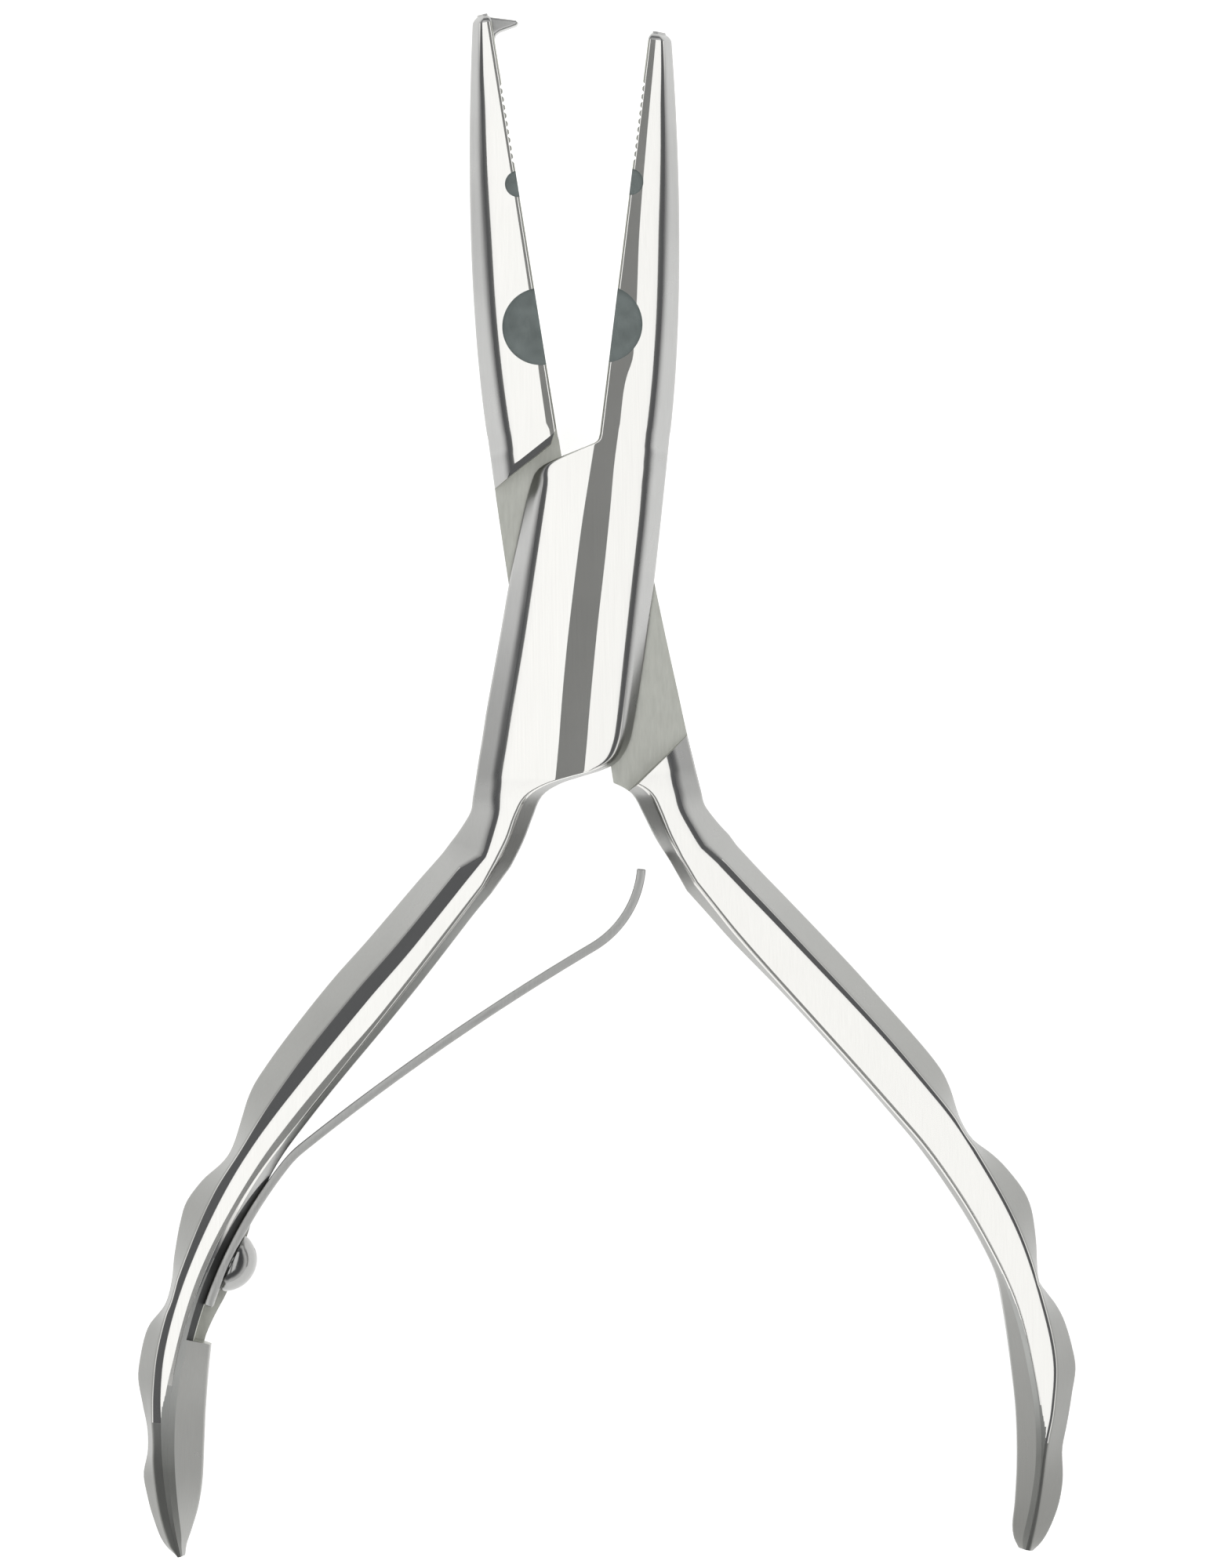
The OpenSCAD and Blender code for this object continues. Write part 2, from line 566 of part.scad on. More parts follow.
// the flat underside of the head bridges the hollow of the foot
slot_depth = 0.9;
foot_r = leaf_line_r - leaf_thickness / 2;
foot_sag = foot_r - sqrt(foot_r * foot_r - head_d * head_d / 4);
head_seat = leaf_thickness + 2 * seat_play + foot_sag;
module spring_screw() {
    dome_r = (head_d * head_d / 4 + head_h * head_h) / (2 * head_h);
    shank = shank_length + head_seat;
    color(steel) rotate(-half_open)
        on_seat(head_seat)
            difference() {
                union() {
                    intersection() {
                        translate([0, 0, head_h - dome_r]) sphere(r = dome_r);
                        cylinder(d = head_d + past, h = head_h + past);
                    }
                    translate([0, 0, -shank]) cylinder(d = shank_d, h = shank + head_h / 4);
                }
                translate([-slot_width / 2, -head_d, head_h - slot_depth])
                    cube([slot_width, 2 * head_d, slot_depth + past]);
            }
}

box_half();
tongue_half();
pivot_pin();
leaf_spring();
spring_screw();
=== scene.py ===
# %% [markdown]
# # Split-ring fishing pliers in polished steel
# The tool is two steel forgings that cross in a box joint, a riveted pin, a leaf spring and its screw.
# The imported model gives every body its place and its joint. This lesson models the pieces again as dense,
# clean meshes, because polished steel shows every flat triangle, and gives each surface the finish of its
# last grinding.

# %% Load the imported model
import math

import bmesh
import bpy
from mathutils import Matrix, Vector


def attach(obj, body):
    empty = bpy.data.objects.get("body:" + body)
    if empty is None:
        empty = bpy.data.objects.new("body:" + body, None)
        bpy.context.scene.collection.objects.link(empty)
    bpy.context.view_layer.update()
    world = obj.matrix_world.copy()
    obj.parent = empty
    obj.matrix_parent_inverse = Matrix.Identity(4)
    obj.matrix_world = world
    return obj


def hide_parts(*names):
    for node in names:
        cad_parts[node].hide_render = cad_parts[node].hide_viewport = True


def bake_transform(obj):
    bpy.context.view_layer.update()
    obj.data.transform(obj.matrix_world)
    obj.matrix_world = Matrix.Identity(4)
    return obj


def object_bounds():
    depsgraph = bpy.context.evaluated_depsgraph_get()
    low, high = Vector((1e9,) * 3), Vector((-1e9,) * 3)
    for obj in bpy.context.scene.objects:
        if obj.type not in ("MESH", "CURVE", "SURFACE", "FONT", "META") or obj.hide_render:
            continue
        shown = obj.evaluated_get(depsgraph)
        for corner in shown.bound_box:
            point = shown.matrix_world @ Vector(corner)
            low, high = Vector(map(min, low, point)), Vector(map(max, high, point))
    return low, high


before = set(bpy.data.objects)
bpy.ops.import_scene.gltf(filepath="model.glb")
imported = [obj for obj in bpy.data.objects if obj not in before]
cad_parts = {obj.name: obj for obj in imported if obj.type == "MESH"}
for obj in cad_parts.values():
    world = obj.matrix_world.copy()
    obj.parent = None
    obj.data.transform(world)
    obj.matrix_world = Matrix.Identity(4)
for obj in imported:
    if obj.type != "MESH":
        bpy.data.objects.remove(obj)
cad_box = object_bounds()
MM = 0.001
thickness = cad_box[1].z / MM
middle = thickness / 2

# %% [markdown]
# ## Driving sizes
# All lengths are in millimetres and all angles in degrees, in the closed pose with the jaws along +Y.
# Each half is drawn closed and then turned by half of the opening, so the two halves stay exact partners.

# %% Driving sizes
# turn of each half from the closed pose, and the fall of the facets, which slope by 6 degrees
HALF_OPEN = 8.0
FACET_FALL = math.tan(math.radians(6))
# pivot to the tip of the plain jaw and of the hooked jaw
JAW_LENGTH, HOOK_JAW = 50.3, 52.19
# the tip: its width and thickness, the radius of its round end, and the share of the width left there
TIP_WIDTH, TIP_THICKNESS = 2.0, 4.2
TIP_ROUND, TIP_END = 0.8, 0.6
# space between the gripping faces when shut, and the small chamfer along them
FACE_GAP, GRIP_EDGE = 0.1, 0.15
# the joint: tongue, its play to each cheek, pin, and the half heights of the side walls of cheek and handle
TONGUE_THICKNESS, SIDE_PLAY, PIN_D = 2.8, 0.08, 3.6
SLOT_HALF = TONGUE_THICKNESS / 2 + SIDE_PLAY
CHEEK_WALL, LOW_SIDE = 0.4, 0.6
CHEEK_SIDE = SLOT_HALF + CHEEK_WALL
# the handle: its start, slant, straight length, radius of the bend and drawn length
HANDLE_START = Vector((-4.9, -25.5))
HANDLE_SLANT = 32.2
HANDLE_STRAIGHT, HANDLE_BEND, HANDLE_LENGTH = 32.4, 45.4, 74.0
# how much longer one handle and shorter the other is than drawn, and the turn of each about the pivot
HANDLE_SHIFT, HANDLE_TURN = 1.1, 0.8
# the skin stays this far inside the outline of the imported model
CLEAR = 0.01


def direction(angle):
    """Unit vector that leans by an angle from the closing line, pointing down the left handle."""
    return Vector((-math.sin(math.radians(angle)), -math.cos(math.radians(angle))))


def smooth_value(stations, s):
    """Value at s on a smooth curve through (position, value) stations."""
    i = 0
    while i < len(stations) - 2 and s > stations[i + 1][0]:
        i += 1
    span = stations[i + 1][0] - stations[i][0]
    t = (s - stations[i][0]) / span

    def slope(k):
        before, after = stations[max(k - 1, 0)], stations[min(k + 1, len(stations) - 1)]
        return (after[1] - before[1]) / (after[0] - before[0])

    ends = (1 + 2 * t) * (1 - t) ** 2 * stations[i][1] + t * t * (3 - 2 * t) * stations[i + 1][1]
    return ends + span * t * (1 - t) * ((1 - t) * slope(i) - t * slope(i + 1))


print("closed length", round(JAW_LENGTH + HANDLE_LENGTH, 1), "mm along jaw and handle")

# %% [markdown]
# ## One cross-section of a forging
# Every cut across a forged half looks alike: a wall, an outer bevel, a nearly flat polished facet, a flat
# crest, a second facet and an inner bevel, the same on front and back. A polished edge is never knife
# sharp, so each corner is a short curve. Extra points close to a corner keep the shading of the broad
# facets flat right up to the edge. Where a handle has a brow, a chamfer between bevel and facet, two
# small curves take the place of the one.

# %% Build one cross-section
# distance of a support point from its corner, and the most of a side that supports and curves may take
SUPPORT = 0.05
SUPPORT_SHARE, GAP_SHARE, CURVE_SHARE = 0.1, 0.2, 0.45
EDGE_ROUND, WALL_ROUND, BROW_ROUND = 1.0, 0.2, 0.2
# the two curves of a brow have as many points as the one edge that they replace
EDGE_STEPS, WALL_STEPS, BROW_STEPS = 10, 4, (3, 4)
# a brow slopes by 31 degrees
BROW_FALL = math.tan(math.radians(31))


def rounded(before, corner, after, reach, steps):
    """Curve round a corner between the points before and after it, with a support point at each end."""
    back, ahead = before - corner, after - corner
    start = corner + back.normalized() * min(reach, CURVE_SHARE * back.length)
    stop = corner + ahead.normalized() * min(reach, CURVE_SHARE * ahead.length)
    shares = [i / steps for i in range(steps + 1)]
    curve = [start * (1 - t) ** 2 + corner * 2 * t * (1 - t) + stop * t * t for t in shares]
    first = start + back.normalized() * min(SUPPORT, SUPPORT_SHARE * back.length)
    last = stop + ahead.normalized() * min(SUPPORT, SUPPORT_SHARE * ahead.length)
    return [first, *curve, last]


def section(left, right, bevels, crest, height, walls, brow=0):
    """Ring of points across a forging, over the front and back by the rear; brow is a chamfer's width."""
    across = right - left
    width = across.length
    knee_left = Vector((bevels[0], height - FACET_FALL * max(0, crest[0] - bevels[0])))
    knee_right = Vector((width - bevels[1], height - FACET_FALL * max(0, width - bevels[1] - crest[1])))
    wall_left, wall_right = Vector((0, walls[0])), Vector((width, walls[1]))
    top_left, top_right = Vector((crest[0], height)), Vector((crest[1], height))
    gap_left = min(SUPPORT, GAP_SHARE * (top_left - knee_left).length)
    gap_mid = min(SUPPORT, GAP_SHARE * (top_right - top_left).length)
    gap_right = min(SUPPORT, GAP_SHARE * (knee_right - top_right).length)
    shoulder = knee_left - Vector((1, BROW_FALL)) * brow
    edge = rounded(wall_left, knee_left, top_left, EDGE_ROUND, EDGE_STEPS)
    if brow:
        edge = rounded(wall_left, shoulder, knee_left, BROW_ROUND, BROW_STEPS[0])
        edge += rounded(shoulder, knee_left, top_left, BROW_ROUND, BROW_STEPS[1])
    front = [
        *rounded(Vector((0, 0)), wall_left, shoulder, WALL_ROUND, WALL_STEPS),
        *edge,
        top_left - Vector((1, FACET_FALL)) * gap_left,
        top_left,
        top_left + Vector((gap_mid, 0)),
        top_right - Vector((gap_mid, 0)),
        top_right,
        top_right + Vector((1, -FACET_FALL)) * gap_right,
        *rounded(top_right, knee_right, wall_right, EDGE_ROUND, EDGE_STEPS),
        *rounded(knee_right, wall_right, Vector((width, 0)), WALL_ROUND, WALL_STEPS),
    ]
    place = [left + across * (p.x / width) for p in front]
    ring = [(q.x, q.y, middle + p.y) for p, q in zip(front, place)]
    return ring + [(q.x, q.y, middle - p.y) for p, q in zip(reversed(front), reversed(place))]


walls = (CHEEK_SIDE, CHEEK_SIDE)
sample = section(Vector((-6.4, 0)), Vector((6.5, 0)), (2.1, 1.9), (6.2, 8.7), middle, walls)
print("points in one cross-section", len(sample))

# %% [markdown]
# ## Sections along the jaw
# The gripping face is straight and lies on the closing line. The outer edge swells towards the joint, and
# front and back taper to a thin tip that closes in a quarter round.

# %% Sections along the jaw
JAW_ROOT, ROOT_WIDTH = 14.6, 6.32
# at distances from the pivot: width of the outer bevel, height of the outer wall, and width of the flat
# crest on the box half and on the tongue half
JAW_BEVEL = [
    (12, 1.75), (14.6, 1.75), (18, 1.7), (24, 1.6), (32, 1.55), (36, 1.42), (40, 1.25), (44, 1.1), (47, 0.9),
    (52, 0.7),
]
JAW_SIDE = [(12, 1.6), (28, 1.6), (36, 1.5), (44, 1.2), (52, 0.9)]
WIDE_FLAT = [
    (14.6, 1.45), (17.4, 1.42), (18.9, 1.55), (20.5, 1.88), (23, 1.8), (26, 1.6), (32, 1.1), (40, 0.75),
    (52, 0.4),
]
NARROW_FLAT = [(14.6, 0.6), (20, 0.5), (26, 0.25), (52, 0.2)]
# powers of the curves by which the jaw gets thinner and narrower
TAPER_FROM, TAPER_POWER, WIDTH_POWER = 13.5, 1.5, 1.65
# share of the narrowing at the tip that falls on the gripping side, and the most of a width that is bevel
TIP_SIDE, BEVEL_SHARE = 0.4, 0.58
# strip between the gripping edge and the flat crest
CREST_INSET = 0.1
TIP_RINGS, JAW_STEPS = 10, 60


def jaw_half(y):
    """Half of the jaw's thickness at a distance from the pivot."""
    share = (y - TAPER_FROM) / (JAW_LENGTH - TAPER_FROM)
    return middle - (middle - TIP_THICKNESS / 2) * share**TAPER_POWER


def jaw_ring(y, length, flat):
    """Cross-section of a jaw of that length, with a flat band along its gripping edge."""
    end = length - y
    fullness = max(TIP_END, math.sqrt(1 - (1 - end / TIP_ROUND) ** 2)) if end < TIP_ROUND else 1
    share = max(0, (y - JAW_ROOT) / (JAW_LENGTH - JAW_ROOT))
    full = ROOT_WIDTH - (ROOT_WIDTH - TIP_WIDTH) * share**WIDTH_POWER
    width, height = full * fullness, jaw_half(y) * (1 + fullness) / 2
    x = FACE_GAP / 2 + TIP_SIDE * (full - width)
    edge = GRIP_EDGE * fullness
    bevels = (edge, min(smooth_value(JAW_BEVEL, y), BEVEL_SHARE * width))
    crest = (edge + CREST_INSET, edge + CREST_INSET + smooth_value(flat, y) * fullness)
    walls = (height - GRIP_EDGE, min(smooth_value(JAW_SIDE, y), height / 2))
    return section(Vector((x, y)), Vector((x + width, y)), bevels, crest, height, walls)


def jaw_rings(length, flat):
    """Rings from the rounded tip down to the root of the jaw."""
    tip = [length - TIP_ROUND * (1 - math.cos(math.pi / 2 * i / TIP_RINGS)) for i in range(TIP_RINGS)]
    tip_foot = length - TIP_ROUND
    shaft = [tip_foot - (tip_foot - JAW_ROOT) * i / JAW_STEPS for i in range(JAW_STEPS + 1)]
    return [jaw_ring(y, length, flat) for y in tip + shaft]


print("jaw rings", len(jaw_rings(JAW_LENGTH, WIDE_FLAT)))

# %% [markdown]
# ## Sections along the joint bar
# Between jaw and handle the forging is a long flat bar. It starts at the throat, passes the slanting
# cheek corner and ends in the rounded crotch. A short list of stations gives both edges, the bevel widths
# and the wall heights, and smooth curves through the stations fill in the rest.

# %% Sections along the joint bar
BAR = [
    # left edge, right edge, bevels, walls from low (-1) past the cheek wall (0) to the crest (1)
    (0.05, 14.0, 6.34, 14.0, 0.15, 1.75, 1, -0.22),
    (0.04, 13.3, 6.36, 13.4, 0.15, 1.75, 1, -0.22),
    (-0.12, 12.75, 6.37, 12.9, 0.15, 1.75, 1, -0.22),
    (-0.75, 12.3, 6.38, 12.4, 0.15, 1.75, 1, 0),
    (-2.3, 11.45, 6.40, 11.6, 0.15, 1.75, 1, 0),
    (-3.7, 10.65, 6.42, 10.8, 0.2, 1.7, 0.75, 0),
    (-4.7, 10.0, 6.43, 10.1, 0.35, 1.7, 0.5, 0),
    (-5.3, 9.3, 6.44, 9.4, 0.7, 1.7, 0.25, 0),
    (-5.62, 8.3, 6.46, 8.3, 1.05, 1.65, 0, 0),
    (-5.95, 5.8, 6.5, 5.8, 1.4, 1.6, 0, 0),
    (-6.42, 0.3, 6.55, 0.3, 1.8, 1.6, 0, 0),
    (-6.75, -6, 6.5, -6, 2.0, 1.45, 0, 0),
    (-7.1, -12, 6.3, -12, 2.1, 1.1, 0, 0),
    (-7.22, -14.6, 6.0, -14.2, 2.1, 0.9, 0, 0),
    (-7.3, -16, 5.2, -15.8, 2.1, 0.6, 0, 0),
    (-7.38, -17.2, 3.9, -16.75, 2.1, 0.6, 0, 0.05),
    (-7.43, -18.2, 2.0, -17.6, 2.1, 0.9, 0, 0.09),
    (-7.5, -19.4, 0.1, -18.5, 2.15, 1.2, 0, 0.14),
    (-7.57, -20.6, -1.35, -19.75, 2.2, 1.4, 0, 0.18),
    (-7.67, -21.9, -2.0, -21.7, 2.3, 1.5, -0.27, 0.23),
    (-8.5, -23.6, -2.65, -24.0, 2.8, 1.4, -0.63, 0.27),
    (-9.3, -24.9, -3.6, -26.4, 3.3, 1.3, -1, 0.32),
]
# left edge of the flat crest, and its right edge on the box half and on the tongue half
CREST_FROM = [(-25, -0.25), (-15, -0.28), (-9, -0.5), (-4, -0.6), (4.5, -0.58), (10, -0.4), (14, -0.25)]
WIDE_CREST = [(-25, 2.25), (-15, 2.25), (-10, 2.1), (-4, 1.95), (2, 1.9), (7, 1.8), (10.5, 1.68), (14, 1.7)]
NARROW_CREST = [(-25, 0.7), (14, 0.7)]
# least strip between a bevel and the crest, least width of the crest, and least way from the left bevel to
# the crest's right edge
CREST_STRIP, CREST_LEAST, CREST_REACH = 0.1, 0.15, 0.3
# towards the broad handle the left bevel gets slimmer by a share, and the right one swells by these widths
ROOT_SLIM, SLIM_FROM, SLIM_SPAN = 0.25, -20, 5
SWELL_FROM = -17.2
CROTCH_SWELL = [(-27, -0.35), (-24, -0.1), (-22, 0), (-20, 0.2), (-18.2, 0.5), (SWELL_FROM, 0)]
# the handle's turn about the pivot grows from nothing to its full angle over this stretch
TURN_FROM, TURN_SPAN = -13, 13
BAR_STEPS = 4


def turned(point, angle):
    """A point turned about the pivot, less and less towards the joint."""
    share = min(1, max(0, (TURN_FROM - point.y) / TURN_SPAN))
    return Matrix.Rotation(math.radians(angle * share), 2) @ point


def wall_height(share):
    """Half height of a side wall: low at -1, a cheek's at 0, up to the crest at 1."""
    return CHEEK_SIDE + share * (middle - GRIP_EDGE - CHEEK_SIDE if share > 0 else CHEEK_SIDE - LOW_SIDE)


def bar_ring(station, turn, crest_to, slim):
    """Cross-section of the bar at a place between its stations; slim 1 fits it to the broad handle."""
    values = [smooth_value(list(enumerate(row)), station) for row in zip(*BAR)]
    left_x, left_y, right_x, right_y, left_bevel, right_bevel, low, high = values
    left, right = Vector((left_x, left_y)), Vector((right_x, right_y))
    left_bevel *= 1 - slim * ROOT_SLIM * min(1, max(0, (SLIM_FROM - left_y) / SLIM_SPAN))
    right_bevel += slim * smooth_value(CROTCH_SWELL, right_y) if right_y < SWELL_FROM else 0
    end = max(left_bevel + CREST_REACH, smooth_value(crest_to, left_y) - left_x)
    end = min(end, (right - left).length - right_bevel - CREST_STRIP)
    start = max(left_bevel + CREST_STRIP, smooth_value(CREST_FROM, left_y) - left_x)
    crest = (min(start, end - CREST_LEAST), end)
    walls = (wall_height(low), wall_height(high))
    return section(turned(left, turn), turned(right, turn), (left_bevel, right_bevel), crest, middle, walls)


def bar_rings(turn, crest_to, slim):
    """Rings from the throat to the crotch."""
    return [bar_ring(i / BAR_STEPS, turn, crest_to, slim) for i in range((len(BAR) - 1) * BAR_STEPS + 1)]


print("bar rings", len(bar_rings(HANDLE_TURN, WIDE_CREST, 0)))

# %% [markdown]
# ## Lines of the left handle
# Widths are given at places along a handle drawn 74 mm long. Three finger grooves are ground into the
# outer edge, and the facet thins out to a ridge towards the end. A chamfer, the brow, breaks the edge
# between outer bevel and facet and mirrors the dark gap above the tool.

# %% Lines of the left handle
# depth of the grooves, widths of outer bevel, facet and inner bevel, height of the inner wall, and how far
# the crest drops
GROOVE = [
    (3, 0), (24, 0), (30, 0.25), (33.3, 0.95), (36.8, 1.6), (40, 0.75), (43, 0.2), (46.5, 0.75),
    (51, 1.75), (54, 0.55), (56.5, 0.1), (60.5, 0.75), (64.6, 1.25), (68, 0.75), (71, 0.9), (74, 1.15),
]
OUTER = [
    (3, 3.35), (6, 3.41), (10, 3.45), (14, 3.54), (18, 3.75), (22, 3.82), (28, 3.82), (32, 3.8), (34, 3.5),
    (36, 3.32), (38, 3.25), (40, 3.32), (42, 3.22), (44, 2.94), (48, 2.92), (50, 3.2), (52, 3.5), (53, 3.55),
    (54, 3.38), (56, 3.09), (58, 3.2), (60, 3.03), (62, 2.82), (64, 2.96), (66, 3.25), (68, 2.78), (70, 2.55),
    (72, 2.3), (73, 1.95), (74, 1.3),
]
FACET = [(3, 1.4), (9, 1.75), (18, 1.95), (30, 1.85), (42, 1.4), (48, 1.1), (54, 0.6), (60, 0.28), (74, 0.2)]
INNER = [
    (3, 1), (6, 0.84), (14, 0.78), (18, 0.7), (26, 0.52), (32, 0.6), (36, 0.9), (40, 1.5), (44, 2.2),
    (48, 2.45), (53, 2.48), (54, 2.62), (56, 2.85), (58, 3.03), (60, 3.13), (63, 3.17), (66, 3.03),
    (68, 2.74), (70, 2.17), (72, 1.25), (73, 0.7), (74, 0.35),
]
INNER_SIDE = [(3, 2.5), (46, 2.5), (54, 1.6), (60, 0.8), (74, 0.5)]
CREST_DROP = [(3, 0), (54, 0), (60, 0.15), (66, 0.6), (70, 1.15), (74, 2.3)]
# outer edge of the facet and start of its flat crest, both from the spine, and the width of the brow
EDGE = [
    (3, -0.7), (12, -0.75), (18, -1), (30, -1.15), (36, -1), (44, -0.85), (55, -1), (59, -0.8), (62, -0.55),
    (74, -0.15),
]
CREST = [
    (3, 0.5), (18, 0.6), (24, 0.35), (30, 0.2), (40, 0.3), (48, 0.05), (55, -0.1), (59, -0.4), (62, -0.5),
    (74, -0.1),
]
BROW = [
    (3, 1.4), (24, 1.45), (31, 1.15), (36, 0.85), (40, 0.95), (48, 0.75), (58, 0.8), (64, 0.9), (70, 0.8),
    (74, 0.4),
]
NO_SHIFT = [(3, 0), (74, 0)]
# outer bevel, facet, inner bevel and shift inwards of the handle, then the lines of its facet and brow
NARROW_STYLE = (OUTER, FACET, INNER, NO_SHIFT, EDGE, CREST, BROW)
print("left handle, widest facet", max(width for at, width in FACET), "mm")

# %% [markdown]
# ## Lines of the right handle
# The other handle has the same grooves, but its facet is broader, its brow is narrower, and its end
# swings inwards. Up to the start of the ridge the lines of the facet follow its width, and further down
# they have places of their own.

# %% Lines of the right handle
BROAD_OUTER = [
    (3, 2.5), (6, 2.45), (14, 2.43), (18, 2.4), (22, 2.32), (26, 2.34), (30, 2.44), (32, 2.32), (34, 1.95),
    (36, 2.15), (38, 2.66), (40, 2.65), (42, 2.53), (44, 2.41), (46, 2.21), (48, 2.06), (50, 2.16), (51, 2.6),
    (52, 2.78), (53, 2.6), (54, 2.36), (56, 2.12), (58, 2.33), (60, 2.26), (62, 2.18), (64, 2.27), (66, 2.6),
    (68, 2.72), (70, 2.76), (72, 2.5), (73.2, 2.15), (74, 1.7),
]
BROAD_FACET = [
    (3, 2.6), (6, 2.9), (9, 3.2), (15, 3.45), (24, 3.65), (33, 3.5), (39, 3.15), (45, 2.85), (51, 2.2),
    (57, 1.95), (60, 1.65), (63, 1.35), (66, 0.6), (69, 0.25), (74, 0.2),
]
BROAD_INNER = [
    (3, 1.05), (6, 0.84), (10, 0.62), (14, 0.4), (18, 0.3), (27, 0.3), (39, 0.45), (45, 0.45), (48, 0.58),
    (51, 1.15), (54, 1.55), (57, 1.8), (60, 1.98), (63, 2.08), (66, 2.05), (70, 1.75), (72, 1.6), (73.2, 1.2),
    (74, 0.6),
]
BROAD_SHIFT = [
    (3, -0.1), (9, 0), (24, -0.15), (33, 0), (39, 0.2), (51, 0.1), (60, 0.2), (63, 0.3), (66, 0.7),
    (69, 1.05), (74, 1.3),
]
RIDGE_FROM, BROAD_CREST_SHARE = 60, 0.4
BROAD_EDGE = [(at, -facet / 2) for at, facet in BROAD_FACET if at < RIDGE_FROM]
BROAD_EDGE += [(61, -0.3), (64, 0.2), (69, 0), (74, -0.1)]
BROAD_CREST = [(at, BROAD_CREST_SHARE * facet) for at, facet in BROAD_FACET if at < RIDGE_FROM]
BROAD_CREST += [(61, 0.5), (64, 0.3), (69, 0.1), (74, 0.09)]
BROAD_BROW = [(3, 0.75), (14, 0.65), (30, 0.5), (44, 0.4), (60, 0.35), (74, 0.25)]
BROAD_STYLE = (BROAD_OUTER, BROAD_FACET, BROAD_INNER, BROAD_SHIFT, BROAD_EDGE, BROAD_CREST, BROAD_BROW)
print("right handle, widest facet", max(width for at, width in BROAD_FACET), "mm")

# %% [markdown]
# ## Sections along the handle
# Both handles run straight and then bend in along an arc. A section stands square on that line at each
# place, and the sections lie closer together at the rounded end.

# %% Sections along the handle
HANDLE_FROM, HANDLE_STEP, HANDLE_ROWS = 3, 0.5, 140
END_PLACES = (72.9, 73.2, 73.5, 73.7, 73.85, 73.95, HANDLE_LENGTH)
# height of the outer wall, and the most of the height that the outer and the inner wall may take
OUTER_SIDE, OUTER_SHARE, INNER_SHARE = 0.5, 0.3, 0.6
# share of the facet where the flat crest ends, least width of a strip, and the brow's most of the bevel
CREST_END, LEAST_STRIP, BROW_SHARE = 0.95, 0.05, 0.6
STRAIGHT_END = HANDLE_START + HANDLE_STRAIGHT * direction(HANDLE_SLANT)


def inward(angle):
    """Unit vector across the left handle, pointing to its inner edge."""
    return Vector((math.cos(math.radians(angle)), -math.sin(math.radians(angle))))


BEND_MIDDLE = STRAIGHT_END + HANDLE_BEND * inward(HANDLE_SLANT)


def handle_ring(at, length, turn, style):
    """Cross-section of a handle of that length; at counts along a handle drawn 74 mm long."""
    way = at * (length - CLEAR) / HANDLE_LENGTH
    slant = HANDLE_SLANT - math.degrees(max(0, way - HANDLE_STRAIGHT) / HANDLE_BEND)
    spine = HANDLE_START + way * direction(HANDLE_SLANT)
    if way > HANDLE_STRAIGHT:
        spine = BEND_MIDDLE - HANDLE_BEND * inward(slant)
    outer, facet, inner, shift, edge, start, brow = (smooth_value(band, at) for band in style)
    outer -= smooth_value(GROOVE, at)
    spine = spine + shift * inward(slant)
    height = middle - max(0, smooth_value(CREST_DROP, at))
    left = spine - (facet / 2 + outer - CLEAR) * inward(slant)
    right = spine + (facet / 2 + inner) * inward(slant)
    inner_side = smooth_value(INNER_SIDE, at)
    walls = (min(OUTER_SIDE, OUTER_SHARE * height), min(inner_side, INNER_SHARE * height))
    bevel = max(LEAST_STRIP, outer + facet / 2 + edge)
    crest_end = outer + CREST_END * facet
    crest = (min(outer + facet / 2 + start, crest_end - LEAST_STRIP), crest_end)
    brow = min(brow, BROW_SHARE * bevel)
    return section(turned(left, turn), turned(right, turn), (bevel, inner), crest, height, walls, brow)


def handle_rings(length, turn, style):
    """Rings from the crotch to the end of the handle."""
    places = [HANDLE_FROM + HANDLE_STEP * i for i in range(HANDLE_ROWS)]
    return [handle_ring(at, length, turn, style) for at in (*places, *END_PLACES)]


print("handle rings", len(handle_rings(HANDLE_LENGTH, 0, NARROW_STYLE)))

# %% [markdown]
# ## From mesh to object
# Every piece is built as a bmesh, in millimetres, and becomes an object when its mesh is done.

# %% Helper that makes an object
def new_piece(name, bm):
    """Object made from a bmesh, linked to the scene, still in millimetres."""
    mesh = bpy.data.meshes.new(name)
    bm.to_mesh(mesh)
    bm.free()
    piece = bpy.data.objects.new(name, mesh)
    bpy.context.scene.collection.objects.link(piece)
    return piece


# %% [markdown]
# ## A finish for each face
# The row of a face tells how far along the tool it is, and its column how far across. Jaw tips, bevels,
# facets and the dull ridge get their finish from these two. Columns count from the left wall, alike on
# front and back.

# %% Choose the finish of a face
HANDLE_ROW = len(jaw_rings(JAW_LENGTH, WIDE_FLAT)) + len(bar_rings(HANDLE_TURN, WIDE_CREST, 0))
# from just before this station of the bar on, its bevels have the finish of the grips
GRIP_STATION = 6
GRIP_ROW = HANDLE_ROW - (len(BAR) - GRIP_STATION) * BAR_STEPS
# columns of the loft where the left bevel ends, on jaw and handle, where the facet begins and where the
# right bevel begins, beside the polish and beside the dull ridge
JAW_EDGE, HANDLE_EDGE, FACET_FROM, RIGHT_EDGE, RIDGE_EDGE = 12, 10, 13, 33, 36
# place along the handle where the polish of each half ends, and how much earlier it ends at the right bevel
BOX_POLISH, TONGUE_POLISH, POLISH_SLANT = 61.5, 64.0, 18.0
# places of the finishes in the list of materials of each half
ON_POLISHED, ON_GROUND, ON_LAPPED, ON_DULL, ON_GRIP = range(5)


